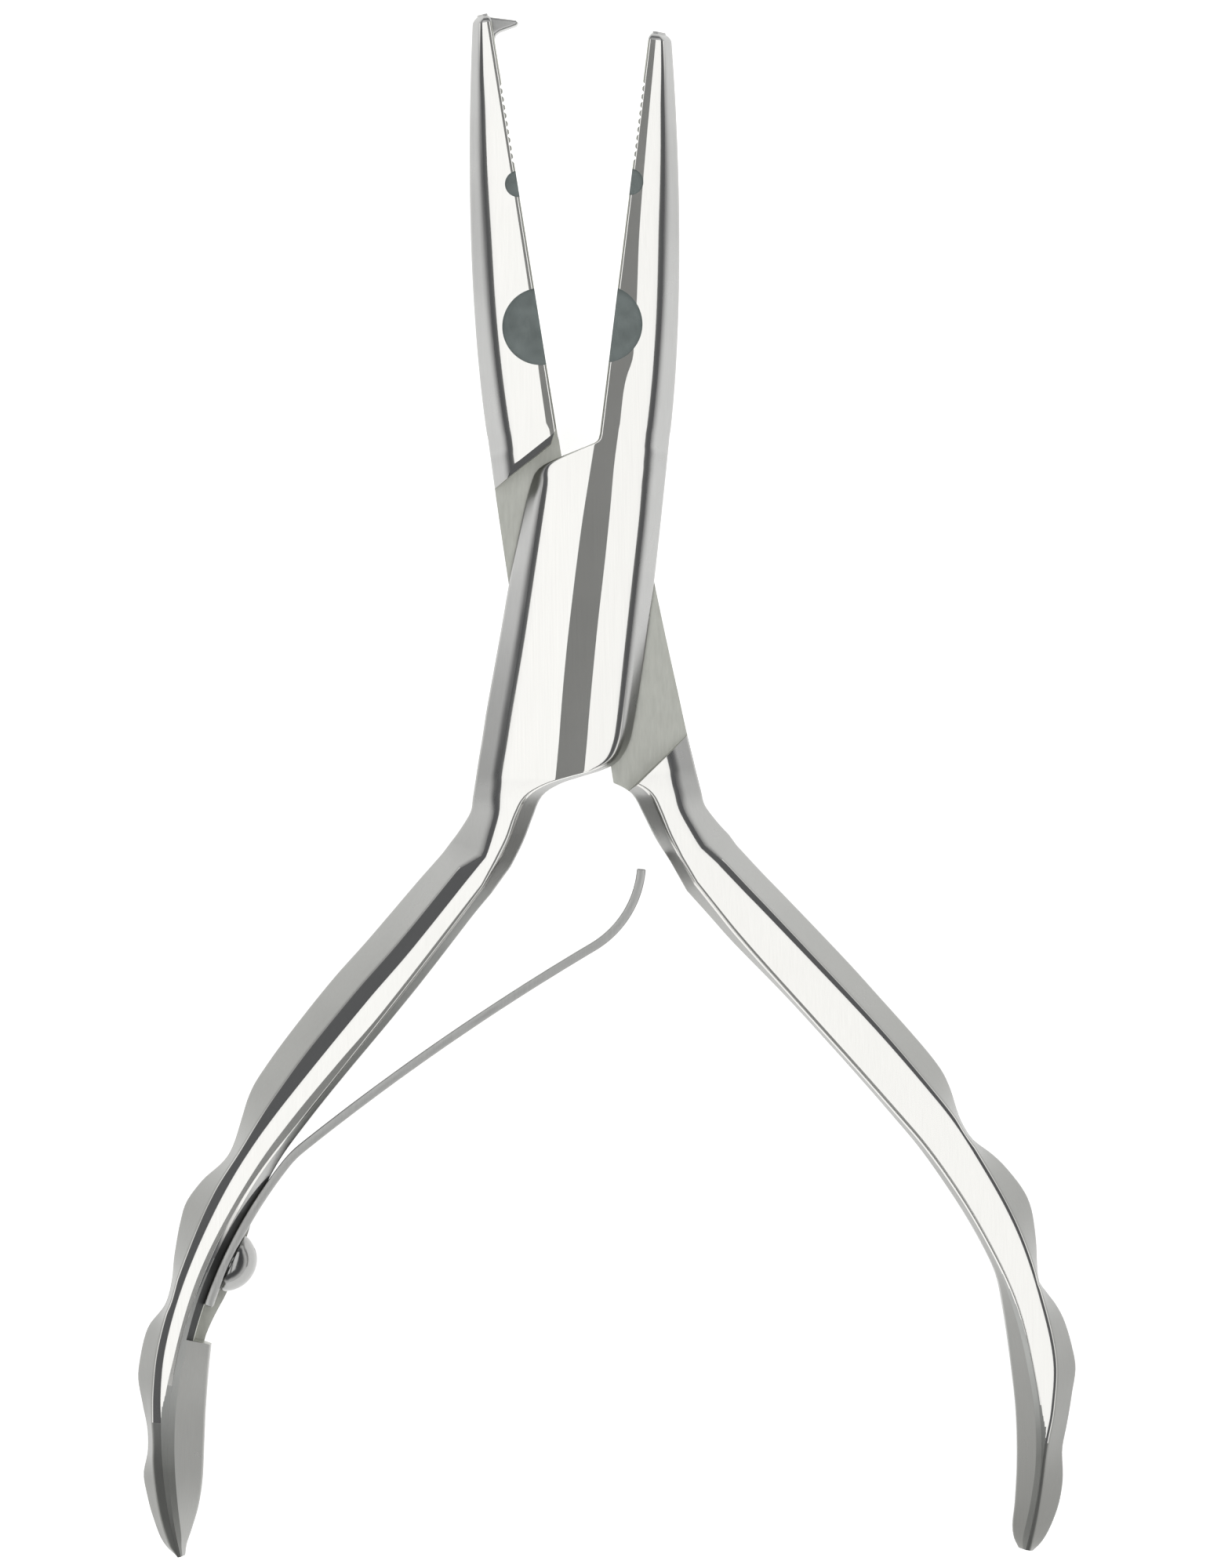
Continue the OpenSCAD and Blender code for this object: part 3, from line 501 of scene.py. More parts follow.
def finish_of(row, column, columns, polish_to, inner):
    """Place in the list of materials of the finish on one face."""
    place = column if column < columns // 2 else max(0, columns - 2 - column)
    if row < TIP_RINGS:
        return ON_GROUND
    if row < HANDLE_ROW:
        left, right = (ON_GRIP, ON_GRIP) if row > GRIP_ROW else (ON_LAPPED, ON_GROUND)
        return left if place < JAW_EDGE else right if place >= RIGHT_EDGE else ON_POLISHED
    at = HANDLE_FROM + (row - HANDLE_ROW) * HANDLE_STEP
    if place < HANDLE_EDGE:
        return ON_GRIP
    across = max(0, place - FACET_FROM) / (RIGHT_EDGE - FACET_FROM)
    polished = at < polish_to - POLISH_SLANT * across**2
    if place >= (RIGHT_EDGE if polished else RIDGE_EDGE):
        return inner[0] if at < HANDLE_STRAIGHT else inner[1]
    return ON_POLISHED if polished else ON_DULL


print("rows before the handle", HANDLE_ROW)

# %% [markdown]
# ## Both forgings
# The rings of jaw, bar and handle follow one another from the tip to the end. The right jaw belongs to
# the left handle and the other way round, so each half crosses over at the joint. A loft is a sheet of
# quads pulled over the rings: `create_grid` makes the rows and columns, each row is laid on one ring, and
# the seam and both ends are closed. Bridging loop by loop would give the same skin but can twist where
# the sections slant, and a grid can't.

# %% Loft the forgings
# points closer than this are one point
MERGE = 1e-4


def loft(name, rings, side, polish_to, inner):
    """Closed skin over the rings; polish_to ends the polish, inner are the inner bevel's two finishes."""
    bm = bmesh.new()
    columns = len(rings[0])
    bmesh.ops.create_grid(bm, x_segments=columns, y_segments=len(rings) - 1, size=1)
    bm.verts.ensure_lookup_table()
    for row, ring in enumerate(rings):
        for column in range(columns + 1):
            x, y, z = ring[column % columns]
            bm.verts[row * (columns + 1) + column].co = (side * x, y, z)
    for number, face in enumerate(bm.faces):
        row, column = divmod(number, columns)
        face.material_index = finish_of(row, column, columns, polish_to, inner)
    bmesh.ops.remove_doubles(bm, verts=bm.verts, dist=MERGE)
    bmesh.ops.holes_fill(bm, edges=[e for e in bm.edges if e.is_boundary])
    bmesh.ops.recalc_face_normals(bm, faces=bm.faces)
    open_edges = sum(not e.is_manifold for e in bm.edges)
    print(name, len(bm.faces), "faces,", open_edges, "open edges")
    return new_piece(name, bm)


box_half = loft(
    "box_half_forging",
    jaw_rings(JAW_LENGTH, WIDE_FLAT)
    + bar_rings(HANDLE_TURN, WIDE_CREST, 0)
    + handle_rings(HANDLE_LENGTH - HANDLE_SHIFT, HANDLE_TURN, NARROW_STYLE),
    side=1, polish_to=BOX_POLISH, inner=(ON_DULL, ON_GROUND),
)
tongue_half = loft(
    "tongue_half_forging",
    jaw_rings(HOOK_JAW, NARROW_FLAT)
    + bar_rings(-HANDLE_TURN, NARROW_CREST, 1)
    + handle_rings(HANDLE_LENGTH + HANDLE_SHIFT, -HANDLE_TURN, BROAD_STYLE),
    side=-1, polish_to=TONGUE_POLISH, inner=(ON_GRIP, ON_GRIP),
)

# %% [markdown]
# ## Steel and its finishes
# Forged stainless tool steel (about 13 % chromium) is ground, then polished with felt and compound. The
# eye reads it almost only by what it mirrors, so the colour is a plain light grey, the roughness is low,
# and fine lines from the polishing belt and faint handling marks break the mirror up a little.

# %% Helper for colours and nodes
def linear(hex_colour):
    """Linear RGBA of an sRGB hex colour."""
    parts = [int(hex_colour[i : i + 2], 16) / 255 for i in (1, 3, 5)]
    return (*[c / 12.92 if c <= 0.04045 else ((c + 0.055) / 1.055) ** 2.4 for c in parts], 1.0)


def add(tree, kind, inputs=None, **settings):
    """Adds a node, sets its fields and fills its inputs with values or another node's output."""
    node = tree.nodes.new(kind)
    for name, value in settings.items():
        setattr(node, name, value)
    for name, value in (inputs or {}).items():
        if isinstance(value, bpy.types.NodeSocket):
            tree.links.new(value, node.inputs[name])
        else:
            node.inputs[name].default_value = value
    return node


print("mid grey is", round(linear("#808080")[0], 3), "in linear light")

# %% [markdown]
# ## A recipe for ground steel
# All these surfaces are the same steel after different last wheels, so one recipe makes them all.
# Stretched noise draws the lines that a wheel leaves along the tool, and a second, broad noise makes some
# spots duller than others. On some finishes the tint also darkens along the tool, towards the handle ends.
# Real lines are a few hundredths of a millimetre wide. They are drawn several times as wide, because
# finer ones wouldn't show in the picture.

# %% Recipe for ground steel
# most values of a noise lie between these two
NOISE_LOW, NOISE_HIGH = 0.3, 0.7


def ground_steel(name, colour, roughness, line_mm, run_mm, depth_mm, mark_mm, shades_along_y=()):
    """Steel with lines of a width, run and depth, marks of a size, and shades at places along Y."""
    material = bpy.data.materials.new(name)
    material.use_nodes = True
    tree = material.node_tree
    shader = tree.nodes["Principled BSDF"]
    shader.inputs["Metallic"].default_value = 1.0
    place = add(tree, "ShaderNodeTexCoord").outputs["Object"]
    stretch = (1 / (line_mm * MM), 1 / (run_mm * MM), 1 / (line_mm * MM))
    along = add(tree, "ShaderNodeMapping", {"Vector": place, "Scale": stretch}).outputs["Vector"]
    lines = add(tree, "ShaderNodeTexNoise", {"Vector": along, "Scale": 1.0, "Detail": 3.0, "Roughness": 0.6})
    marks = add(tree, "ShaderNodeTexNoise", {"Vector": place, "Scale": 1 / (mark_mm * MM), "Detail": 4.0})
    limits = {"From Min": NOISE_LOW, "From Max": NOISE_HIGH, "To Min": roughness[0], "To Max": roughness[1]}
    spread = add(tree, "ShaderNodeMapRange", {"Value": marks.outputs["Fac"], **limits})
    tint = add(
        tree, "ShaderNodeMix",
        {"Factor": lines.outputs["Fac"], 6: linear(colour[0]), 7: linear(colour[1])},
        data_type="RGBA",
    )
    bump = add(
        tree, "ShaderNodeBump",
        {"Height": lines.outputs["Fac"], "Strength": 0.5, "Distance": depth_mm * MM},
    )
    if shades_along_y:
        first, last = shades_along_y[0][0], shades_along_y[-1][0]
        height = add(tree, "ShaderNodeSeparateXYZ", {"Vector": place}).outputs["Y"]
        reach = {"From Min": first * MM, "From Max": last * MM}
        share = add(tree, "ShaderNodeMapRange", {"Value": height, **reach})
        shades = add(tree, "ShaderNodeValToRGB", {"Fac": share.outputs["Result"]})
        shades.color_ramp.elements.remove(shades.color_ramp.elements[1])
        shades.color_ramp.elements[0].color = linear(shades_along_y[0][1])
        for y, shade in shades_along_y[1:]:
            shades.color_ramp.elements.new((y - first) / (last - first)).color = linear(shade)
        tint = add(
            tree, "ShaderNodeMix",
            {"Factor": 1.0, 6: tint.outputs[2], 7: shades.outputs["Color"]},
            data_type="RGBA", blend_type="MULTIPLY",
        )
    tree.links.new(tint.outputs[2], shader.inputs["Base Color"])
    tree.links.new(spread.outputs["Result"], shader.inputs["Roughness"])
    tree.links.new(bump.outputs["Normal"], shader.inputs["Normal"])
    return material


print("materials before the finishes are made", len(bpy.data.materials))

# %% [markdown]
# ## The finishes of this tool
# Facets are felt polished, bevels are left from the belt, sliding faces are lapped and pockets are
# milled. The numbers are two tints, the range of roughness, the width and run of a line, its depth and
# the size of a mark, in millimetres.

# %% Make the finishes
# felt polish: a near mirror, the faint wave of the wheel softens what it shows
POLISHED = ground_steel("polished_tool_steel", ("#dcdbd8", "#e5e4e1"), (0.08, 0.13), 0.12, 9.0, 0.0004, 7.0)
# belt grinding: fine lines along the edge blur the mirror to an even light grey
# its tint darkens a little from Y -50 mm to -62 mm, towards the handle ends
GROUND_SHADES_ALONG_Y = [(-50, "#ffffff"), (-62, "#e0e0de")]
BELT = (("#b2b2b1", "#bbbbba"), (0.26, 0.34), 0.15, 6.0, 0.001, 5.0)
GROUND = ground_steel("belt_ground_steel", *BELT, GROUND_SHADES_ALONG_Y)
# the same belt on the grips, its grey tint deepening step by step down the handle
GRIP_SHADES_ALONG_Y = [
    (-2, "#ffffff"), (-24, "#ebebea"), (-38, "#dededc"), (-54, "#d2d2d0"), (-70, "#c8c8c6"), (-86, "#b4b4b1"),
]
GRIP = ground_steel("belt_ground_grip", *BELT, GRIP_SHADES_ALONG_Y)
# lapping: short scratches that cross give a dull, slightly mottled grey
LAPPED = ground_steel("lapped_steel", ("#b6b7b0", "#cfd0c9"), (0.36, 0.48), 0.25, 1.6, 0.006, 3.0)
# turning: rings so fine that the dome still holds a small highlight
TURNED = ground_steel("turned_screw_steel", ("#a1a1a0", "#adadac"), (0.12, 0.2), 0.2, 0.2, 0.0004, 2.0)
# milling: a cool, flat grey without a mirror
MILLED = ground_steel("milled_steel", ("#8c9594", "#979f9e"), (0.2, 0.26), 0.15, 0.6, 0.001, 1.5)
# painted shade: a nearly black steel with a dull sheen and no bright rim at a flat angle, for the spring
# seat's wall, the room round the screw head and the screw's slot, which lie in shadow
SHADE_PAINTED_STEEL = ground_steel("painted_shade_steel", ("#4c4d4d", "#585959"), (0.35, 0.45), 0.3, 0.6, 0.003, 1.0)
SHADE_PAINTED_STEEL.node_tree.nodes["Principled BSDF"].inputs["Specular Tint"].default_value = linear("#b3b3b3")
# the end of the felt wheel's reach: a dull ridge, its tint darker towards the handle's end
RIDGE_SHADES_ALONG_Y = [(-72, "#ffffff"), (-80, "#b4b4b2")]
WORN_FELT = (("#a0a19f", "#abacaa"), (0.4, 0.5), 0.12, 6.0, 0.001, 3.0)
DULL = ground_steel("dull_polished_steel", *WORN_FELT, RIDGE_SHADES_ALONG_Y)
# cold rolling: a smooth strip with faint lines along it
SPRING = ground_steel("rolled_spring_steel", ("#a9a9a8", "#bfbfbd"), (0.3, 0.42), 0.1, 5.0, 0.001, 2.0)
print("finishes", [m.name for m in (POLISHED, GROUND, GRIP, LAPPED, TURNED, MILLED, SHADE_PAINTED_STEEL, DULL, SPRING)])

# %% [markdown]
# ## Cutting tools
# The real halves are finished by milling: the pockets, teeth, slot and recess are cut into the forging.
# The same goes here: each cutter is a closed prism, and a Boolean takes it away. The cutter's own
# material stays on the cut, so a milled floor doesn't shine like a polished facet.

# %% Helpers that cut
# a length past the sides of the tool, a length past a surface, and the number of sides of a round rod
FAR, PAST, ROUND_SIDES = 60.0, 1.0, 64


def prism(bm, outline, low, high, top=None):
    """Adds a closed prism over an outline; top may give other places for the upper corners."""
    face = bm.faces.new([bm.verts.new((x, y, low)) for x, y in outline])
    lifted = bmesh.ops.extrude_face_region(bm, geom=[face])["geom"]
    upper = [v for v in lifted if isinstance(v, bmesh.types.BMVert)]
    bmesh.ops.translate(bm, verts=upper, vec=(0, 0, high - low))
    if top is None:
        return
    for vert in upper:
        nearest = min(range(len(outline)), key=lambda i: (Vector(outline[i]) - vert.co.xy).length)
        vert.co.xy = top[nearest]


def rod(bm, x, y, radius, low, high):
    """Adds a round rod that stands along Z."""
    place = Matrix.Translation((x, y, (low + high) / 2))
    size = {"radius1": radius, "radius2": radius, "depth": high - low}
    bmesh.ops.create_cone(bm, cap_ends=True, segments=ROUND_SIDES, matrix=place, **size)


def carve(piece, bm, material, operation="DIFFERENCE"):
    """Cuts a bmesh out of a piece, or joins it to it, and leaves its material on the new faces."""
    bmesh.ops.recalc_face_normals(bm, faces=bm.faces)
    tool = new_piece("cutter", bm)
    tool.data.materials.append(material)
    modifier = piece.modifiers.new("carve", "BOOLEAN")
    modifier.object, modifier.operation = tool, operation
    modifier.solver, modifier.material_mode = "EXACT", "TRANSFER"
    shaped = bpy.data.meshes.new_from_object(piece.evaluated_get(bpy.context.evaluated_depsgraph_get()))
    piece.modifiers.clear()
    piece.data = shaped
    bpy.data.objects.remove(tool)


for half in (box_half, tongue_half):
    for finish in (POLISHED, GROUND, LAPPED, DULL, GRIP):
        half.data.materials.append(finish)
print("materials on each half", len(box_half.data.materials))

# %% [markdown]
# ## Pockets and teeth in the jaws
# Two half-round pockets are milled into the front edge of each jaw, and ten fine vees are filed across
# each gripping face near the tip. Both jaws get the same tools, but on the right jaw the large one is set
# back past the gripping face, so that less of it shows.

# %% Cut the pockets and teeth
# place along the jaw, radius and depth of each pocket, and the shift of the large one in the box half
LARGE_POCKET, SMALL_POCKET = (23.3, 3.5, 1.1), (36.4, 1.2, 0.77)
POCKET_SHIFT = -0.8
TEETH_FROM, TEETH_COUNT = 38.6, 10
TOOTH_PITCH, TOOTH_DEPTH = 0.75, 0.25
# half of a vee's mouth as a share of the pitch, and how far the file starts before the closing line
MOUTH_SHARE, FILE_START = 0.35, 0.2


def pockets(shift):
    """Rods that mill the half-round pockets of one jaw, the large one shifted across the closing line."""
    bm = bmesh.new()
    for x, (y, radius, depth) in ((shift, LARGE_POCKET), (0, SMALL_POCKET)):
        rod(bm, x, y, radius, middle + jaw_half(y) - depth, thickness + PAST)
    return bm


def teeth(side):
    """Files that cut the vees of one jaw; side is +1 right of the closing line."""
    bm = bmesh.new()
    mouth, face = MOUTH_SHARE * TOOTH_PITCH, FACE_GAP / 2
    for i in range(TEETH_COUNT):
        y = TEETH_FROM + i * TOOTH_PITCH
        low, high = y - mouth, y + mouth
        vee = [(-FILE_START, low), (-FILE_START, high), (face, high), (face + TOOTH_DEPTH, y), (face, low)]
        prism(bm, [(side * px, py) for px, py in vee], -PAST, thickness + PAST)
    return bm


for half, side, shift in ((box_half, 1, POCKET_SHIFT), (tongue_half, -1, 0)):
    carve(half, pockets(shift), MILLED)
    carve(half, teeth(side), POLISHED)
    print(half.name, "cut, faces", len(half.data.polygons))

# %% [markdown]
# ## The box joint
# The box half is slotted to take the tongue: a round middle that opens to the side on which the tongue
# swings.

# %% Cut the slot
# radius of the round middle, room for the swing, end of the slot on each side and its overlap at the middle
HUB_R, SWING = 9.0, 0.3
SLOT_ENDS, SLOT_OVERLAP = ((1, 13.2), (-1, -22.0)), 0.05
slot = bmesh.new()
rod(slot, 0, 0, HUB_R + SWING, middle - SLOT_HALF, middle + SLOT_HALF)
carve(box_half, slot, LAPPED)
slot = bmesh.new()
for sign, end in SLOT_ENDS:
    start, near, far = sign * SLOT_OVERLAP, sign * SWING, -sign * FAR
    corners = [(far, start), (near, start), (near, end), (far, end)]
    prism(slot, corners, middle - SLOT_HALF, middle + SLOT_HALF)
carve(box_half, slot, LAPPED)
print("slot cut, faces", len(box_half.data.polygons))

# %% [markdown]
# ## The recess of the tongue
# The tongue half is milled down on both faces between two slanting shoulders, which lean a little, as a
# milled step does. The edge of the upper shoulder is broken by a slanting cut.

# %% Helpers for the recess
# height at the closing line and slope of each shoulder, half length of the recess, lean of both shoulders
UPPER_SHOULDER, LOWER_SHOULDER = (13.1, 0.559), (-20.25, 0.69)
LAP_HALF = 9.0
UPPER_LEAN, LOWER_LEAN = 0.05, 0.3
# the notch up to the throat: its foot, tip and far side across the closing line, and its height
NOTCH_FOOT, NOTCH_TIP, NOTCH_SIDE, NOTCH_TOP = -0.8, -0.04, 0.5, 14.1
# the cut along the edge: reach past the shoulder, tilt, fall along the edge, and size of its block
EDGE_REACH, EDGE_TILT, EDGE_FALL = 0.64, 30.0, 5.2
BLOCK_LENGTH, BLOCK_SIZE = LAP_HALF + PAST, 2


def lap_outline(lean):
    """Corners of the recess between the shoulders, each moved outwards by that share of its lean."""
    (up, up_slope), (down, down_slope) = UPPER_SHOULDER, LOWER_SHOULDER
    rise, drop = lean * UPPER_LEAN, -lean * LOWER_LEAN
    return [
        (-LAP_HALF, up - LAP_HALF * up_slope + rise), (NOTCH_FOOT, up + NOTCH_FOOT * up_slope + rise),
        (NOTCH_TIP, NOTCH_TOP + rise), (NOTCH_SIDE, NOTCH_TOP + rise),
        (NOTCH_SIDE, up + rise), (LAP_HALF, up + rise),
        (LAP_HALF, down + LAP_HALF * down_slope + drop), (-LAP_HALF, down - LAP_HALF * down_slope + drop),
    ]


def edge_block():
    """Block that breaks the edge of the upper shoulder on the front."""
    bm = bmesh.new()
    bmesh.ops.create_cube(bm, size=1)
    bmesh.ops.scale(bm, verts=bm.verts, vec=(BLOCK_LENGTH, BLOCK_SIZE, BLOCK_SIZE))
    bmesh.ops.translate(bm, verts=bm.verts, vec=(-BLOCK_LENGTH / 2, -BLOCK_SIZE / 2, BLOCK_SIZE / 2))
    lean = math.atan(UPPER_SHOULDER[1])
    spin = Matrix.Rotation(lean, 4, "Z") @ Matrix.Rotation(math.radians(-EDGE_FALL), 4, "Y")
    spin = spin @ Matrix.Rotation(math.radians(EDGE_TILT), 4, "X")
    bmesh.ops.transform(bm, matrix=spin, verts=bm.verts)
    lift = Vector((0, UPPER_SHOULDER[0] + EDGE_REACH / math.cos(lean), thickness))
    bmesh.ops.translate(bm, verts=bm.verts, vec=lift)
    return bm


print("corners of the recess", len(lap_outline(0)))

# %% [markdown]
# ## Mill the recess
# Front and back get the same cuts. Then the corners of the tongue that would hit the inside of the slot
# are cut back to the round middle.

# %% Mill the recess and the tongue
CORNER_ENDS, ARC_STEP = ((1, 13.4), (-1, -20.5)), 3
for sign in (1, -1):
    lap = bmesh.new()
    lap_floor = middle + sign * TONGUE_THICKNESS / 2
    prism(lap, lap_outline(0), lap_floor, middle + sign * (middle + PAST), top=lap_outline(1))
    carve(tongue_half, lap, LAPPED)
    block = edge_block()
    if sign < 0:
        bmesh.ops.scale(block, verts=block.verts, vec=(1, 1, -1))
        bmesh.ops.translate(block, verts=block.verts, vec=(0, 0, thickness))
    carve(tongue_half, block, POLISHED)
corner = bmesh.new()
arc = [math.radians(a) for a in range(0, 91, ARC_STEP)]
for sign, end in CORNER_ENDS:
    rim = [(sign * HUB_R * math.cos(a), sign * HUB_R * math.sin(a)) for a in arc]
    prism(corner, [*rim, (0, end), (sign * FAR, end), (sign * FAR, 0)], -PAST, thickness + PAST)
carve(tongue_half, corner, LAPPED)
print("recess cut, faces", len(tongue_half.data.polygons))

# %% [markdown]
# ## Pin hole and spring seat
# The pin is ground flush and polished over, so its hole in the box half stays just under both faces. The
# spring's foot lies on a seat milled along the bend of the left handle. The seat's wall follows the same
# arc as the foot and leans back above the strip, and its faces carry painted shade, a near-black steel.

# %% Cut the pin hole and the spring seat
# steel left over each end of the pin, and the play of the tongue round it
SKIN, PIN_PLAY = 0.5, 0.05
# arc of the seat: its shift, the way round the bend where the handle has the shift's direction, its offset
SEAT_SHIFT, SEAT_TILT, SEAT_OFFSET = 1.5, 9.6, 1.6
SEAT_R = HANDLE_BEND - SEAT_OFFSET
# its start and end along the handle, the cutter's reach, the steps of its arc and the overlap of its cuts
SEAT_FROM, SEAT_TO, SEAT_CUT = 28.0, 51.3, 4.0
SEAT_STEPS, SEAT_OVERLAP = 48, 0.01
# width of the strip, the gap under it, and how far the wall above it leans back
LEAF_WIDTH, LIP_GAP, SEAT_LEAN = 4.4, 0.15, 0.7


def foot_angle(at):
    """Slant of the seat at a place along the handle."""
    return HANDLE_SLANT - math.degrees((at - HANDLE_STRAIGHT) / HANDLE_BEND)


SEAT_MIDDLE = BEND_MIDDLE + SEAT_SHIFT * direction(HANDLE_SLANT - math.degrees(SEAT_TILT / HANDLE_BEND))


def on_ring(angle, radius):
    """Point of the closed box half at an angle and radius about the middle of the seat."""
    return Matrix.Rotation(math.radians(HANDLE_TURN), 2) @ (SEAT_MIDDLE - radius * inward(angle))


hole = bmesh.new()
rod(hole, 0, 0, PIN_D / 2, SKIN, thickness - SKIN)
carve(box_half, hole, LAPPED)
hole = bmesh.new()
rod(hole, 0, 0, PIN_D / 2 + PIN_PLAY, -PAST, thickness + PAST)
carve(tongue_half, hole, LAPPED)
seat = bmesh.new()
angles = [foot_angle(SEAT_FROM + (SEAT_TO - SEAT_FROM) * i / SEAT_STEPS) for i in range(SEAT_STEPS + 1)]
inner = [on_ring(a, SEAT_R - SEAT_CUT) for a in reversed(angles)]
wall = [tuple(p) for p in [on_ring(a, SEAT_R) for a in angles] + inner]
brim = [tuple(p) for p in [on_ring(a, SEAT_R + SEAT_LEAN) for a in angles] + inner]
leaf_top = middle + LEAF_WIDTH / 2
prism(seat, wall, middle - LEAF_WIDTH / 2 - LIP_GAP, leaf_top + SEAT_OVERLAP)
carve(box_half, seat, LAPPED)
seat = bmesh.new()
prism(seat, wall, leaf_top, thickness, top=brim)
# painted shade: the leaning wall beside the strip gets a near-black steel
carve(box_half, seat, SHADE_PAINTED_STEEL)
print("seat radius", round(SEAT_R, 1), "mm, faces", len(box_half.data.polygons))

# %% [markdown]
# ## Hook tooth
# A small beak at the tip of the left jaw opens split rings. It is forged in one piece with the jaw, so it
# is drawn as an outline, extruded, rounded along its edges and joined to the jaw by a Boolean.

# %% Join the hook tooth
HOOK_REACH, HOOK_HEIGHT, HOOK_WIDTH, HOOK_ROUND = 2.3, 1.6, 2.6, 0.3
# two ends of an edge at the same height differ by less than this
LEVEL = 1e-6
# settings of a rounded edge
ROUND_OFF = {"offset_type": "OFFSET", "profile": 0.5, "affect": "EDGES", "material": -1}
top = HOOK_JAW - GRIP_EDGE
root = top - HOOK_HEIGHT
beak = [
    (-1.1, top - 0.25), (-0.5, top), (0.1, top - 0.25), (HOOK_REACH - 0.15, top - 0.85),
    (HOOK_REACH, top - 1.1), (HOOK_REACH - 0.2, top - 1.3),
    (0.55, root), (0.15, root - 0.2), (-0.05, root - 0.6), (-0.7, root - 0.8),
]
hook = bmesh.new()
prism(hook, beak, middle - HOOK_WIDTH / 2, middle + HOOK_WIDTH / 2)
level_edges = [e for e in hook.edges if abs(e.verts[0].co.z - e.verts[1].co.z) < LEVEL]
bmesh.ops.bevel(hook, geom=level_edges, offset=HOOK_ROUND, segments=4, clamp_overlap=True, **ROUND_OFF)
carve(tongue_half, hook, GROUND, "UNION")
print("hook joined, faces", len(tongue_half.data.polygons))

# %% [markdown]
# ## Leaf spring
# The spring is a strip of rolled steel: its foot follows the seat, then it bends off the handle, runs in
# a long shallow bow and ends in a curl that slides on the other handle. One upright edge is extruded step
# by step along that line, and `solidify` gives the sheet its thickness.

# %% Make the leaf spring
LEAF_THICKNESS, LEAF_EDGE, LEAF_STEP = 0.8, 0.12, 0.5
# end of the foot along the handle, and its gap to the seat
FOOT_AT, SEAT_PLAY = 47.8, 0.02
# radius at the middle of the strip and turn of the bend off the handle, of the bow and of the curl
OFF_BEND, BOW, CURL = (9.0, 13.0), (230.0, 8.0), (9.0, -55.0)
# faces that meet at more than this angle have an edge of the strip between them
STRIP_CORNER = math.radians(60)
leaf_r = SEAT_R - SEAT_PLAY - LEAF_THICKNESS
foot_from = foot_angle(FOOT_AT)
half_strip = LEAF_THICKNESS / 2
# radius and turn of each arc, measured on the inner face of the strip
LEAF_ARCS = [
    (leaf_r, HANDLE_SLANT - foot_from), (OFF_BEND[0] - half_strip, OFF_BEND[1]),
    (BOW[0] - half_strip, BOW[1]), (CURL[0] + half_strip, CURL[1]),
]


def leaf_line():
    """Points along the inner face of the strip in the closed frame of the box half."""
    point, slant = SEAT_MIDDLE - leaf_r * inward(foot_from), foot_from
    line = [point.copy()]
    for radius, turn in LEAF_ARCS:
        steps = max(2, round(radius * math.radians(abs(turn)) / LEAF_STEP))
        sign = math.copysign(1, turn)
        centre = point + sign * radius * inward(slant)
        line += [centre - sign * radius * inward(slant + turn * i / steps) for i in range(1, steps + 1)]
        slant += turn
        point = line[-1].copy()
    return [Matrix.Rotation(math.radians(HANDLE_TURN), 2) @ p for p in line]


line = leaf_line()
leaf = bmesh.new()
low, high = middle - LEAF_WIDTH / 2, middle + LEAF_WIDTH / 2
edge = leaf.edges.new([leaf.verts.new((*line[0], z)) for z in (low, high)])
for before, after in zip(line, line[1:]):
    grown = bmesh.ops.extrude_edge_only(leaf, edges=[edge])["geom"]
    edge = next(g for g in grown if isinstance(g, bmesh.types.BMEdge))
    step = after - before
    bmesh.ops.translate(leaf, verts=edge.verts[:], vec=(step.x, step.y, 0))
bmesh.ops.recalc_face_normals(leaf, faces=leaf.faces)
outward = leaf.faces[:][0].normal.dot(Vector((*inward(foot_from), 0)))
if outward < 0:
    bmesh.ops.reverse_faces(leaf, faces=leaf.faces)
bmesh.ops.solidify(leaf, geom=leaf.faces[:], thickness=LEAF_THICKNESS)
bmesh.ops.recalc_face_normals(leaf, faces=leaf.faces)
sharp = [e for e in leaf.edges if e.is_manifold and e.calc_face_angle() > STRIP_CORNER]
bmesh.ops.bevel(leaf, geom=sharp, offset=LEAF_EDGE, segments=3, **ROUND_OFF)
leaf_spring = new_piece("leaf_spring_strip", leaf)
leaf_spring.data.materials.append(SPRING)
print("leaf spring, points along it", len(line))

# %% [markdown]
# ## Spring screw
# A slotted screw with a domed head holds the foot. Half of its outline is spun about its axis, and a thin
# bar cuts the slot.

# %% Make the spring screw
HEAD_D, HEAD_H, RIM_H, RIM_ROUND = 5.4, 2.2, 0.3, 0.08
DOME_STEPS = 16
SHANK_D, SHANK_LENGTH = 2.4, 2.4
SLOT_WIDTH, SLOT_DEPTH = 0.7, 0.9
# the flat underside of the head stands on the hollow strip, higher by the sag of its arc
foot_sag = leaf_r - math.sqrt(leaf_r**2 - HEAD_D**2 / 4)
head_seat = LEAF_THICKNESS + 2 * SEAT_PLAY + foot_sag
dome_h = HEAD_H - RIM_H
dome_r = (HEAD_D**2 / 4 + dome_h**2) / (2 * dome_h)
dome_angle = math.asin(HEAD_D / 2 / dome_r)
dome = [dome_angle * i / DOME_STEPS for i in range(DOME_STEPS + 1)]
profile = [(dome_r * math.sin(a), HEAD_H - dome_r * (1 - math.cos(a))) for a in dome]
profile += [(HEAD_D / 2, RIM_ROUND), (HEAD_D / 2 - RIM_ROUND, 0), (SHANK_D / 2, 0)]
profile += [(SHANK_D / 2, -SHANK_LENGTH - head_seat), (0, -SHANK_LENGTH - head_seat)]
screw = bmesh.new()
dots = [screw.verts.new((r, 0, z)) for r, z in profile]
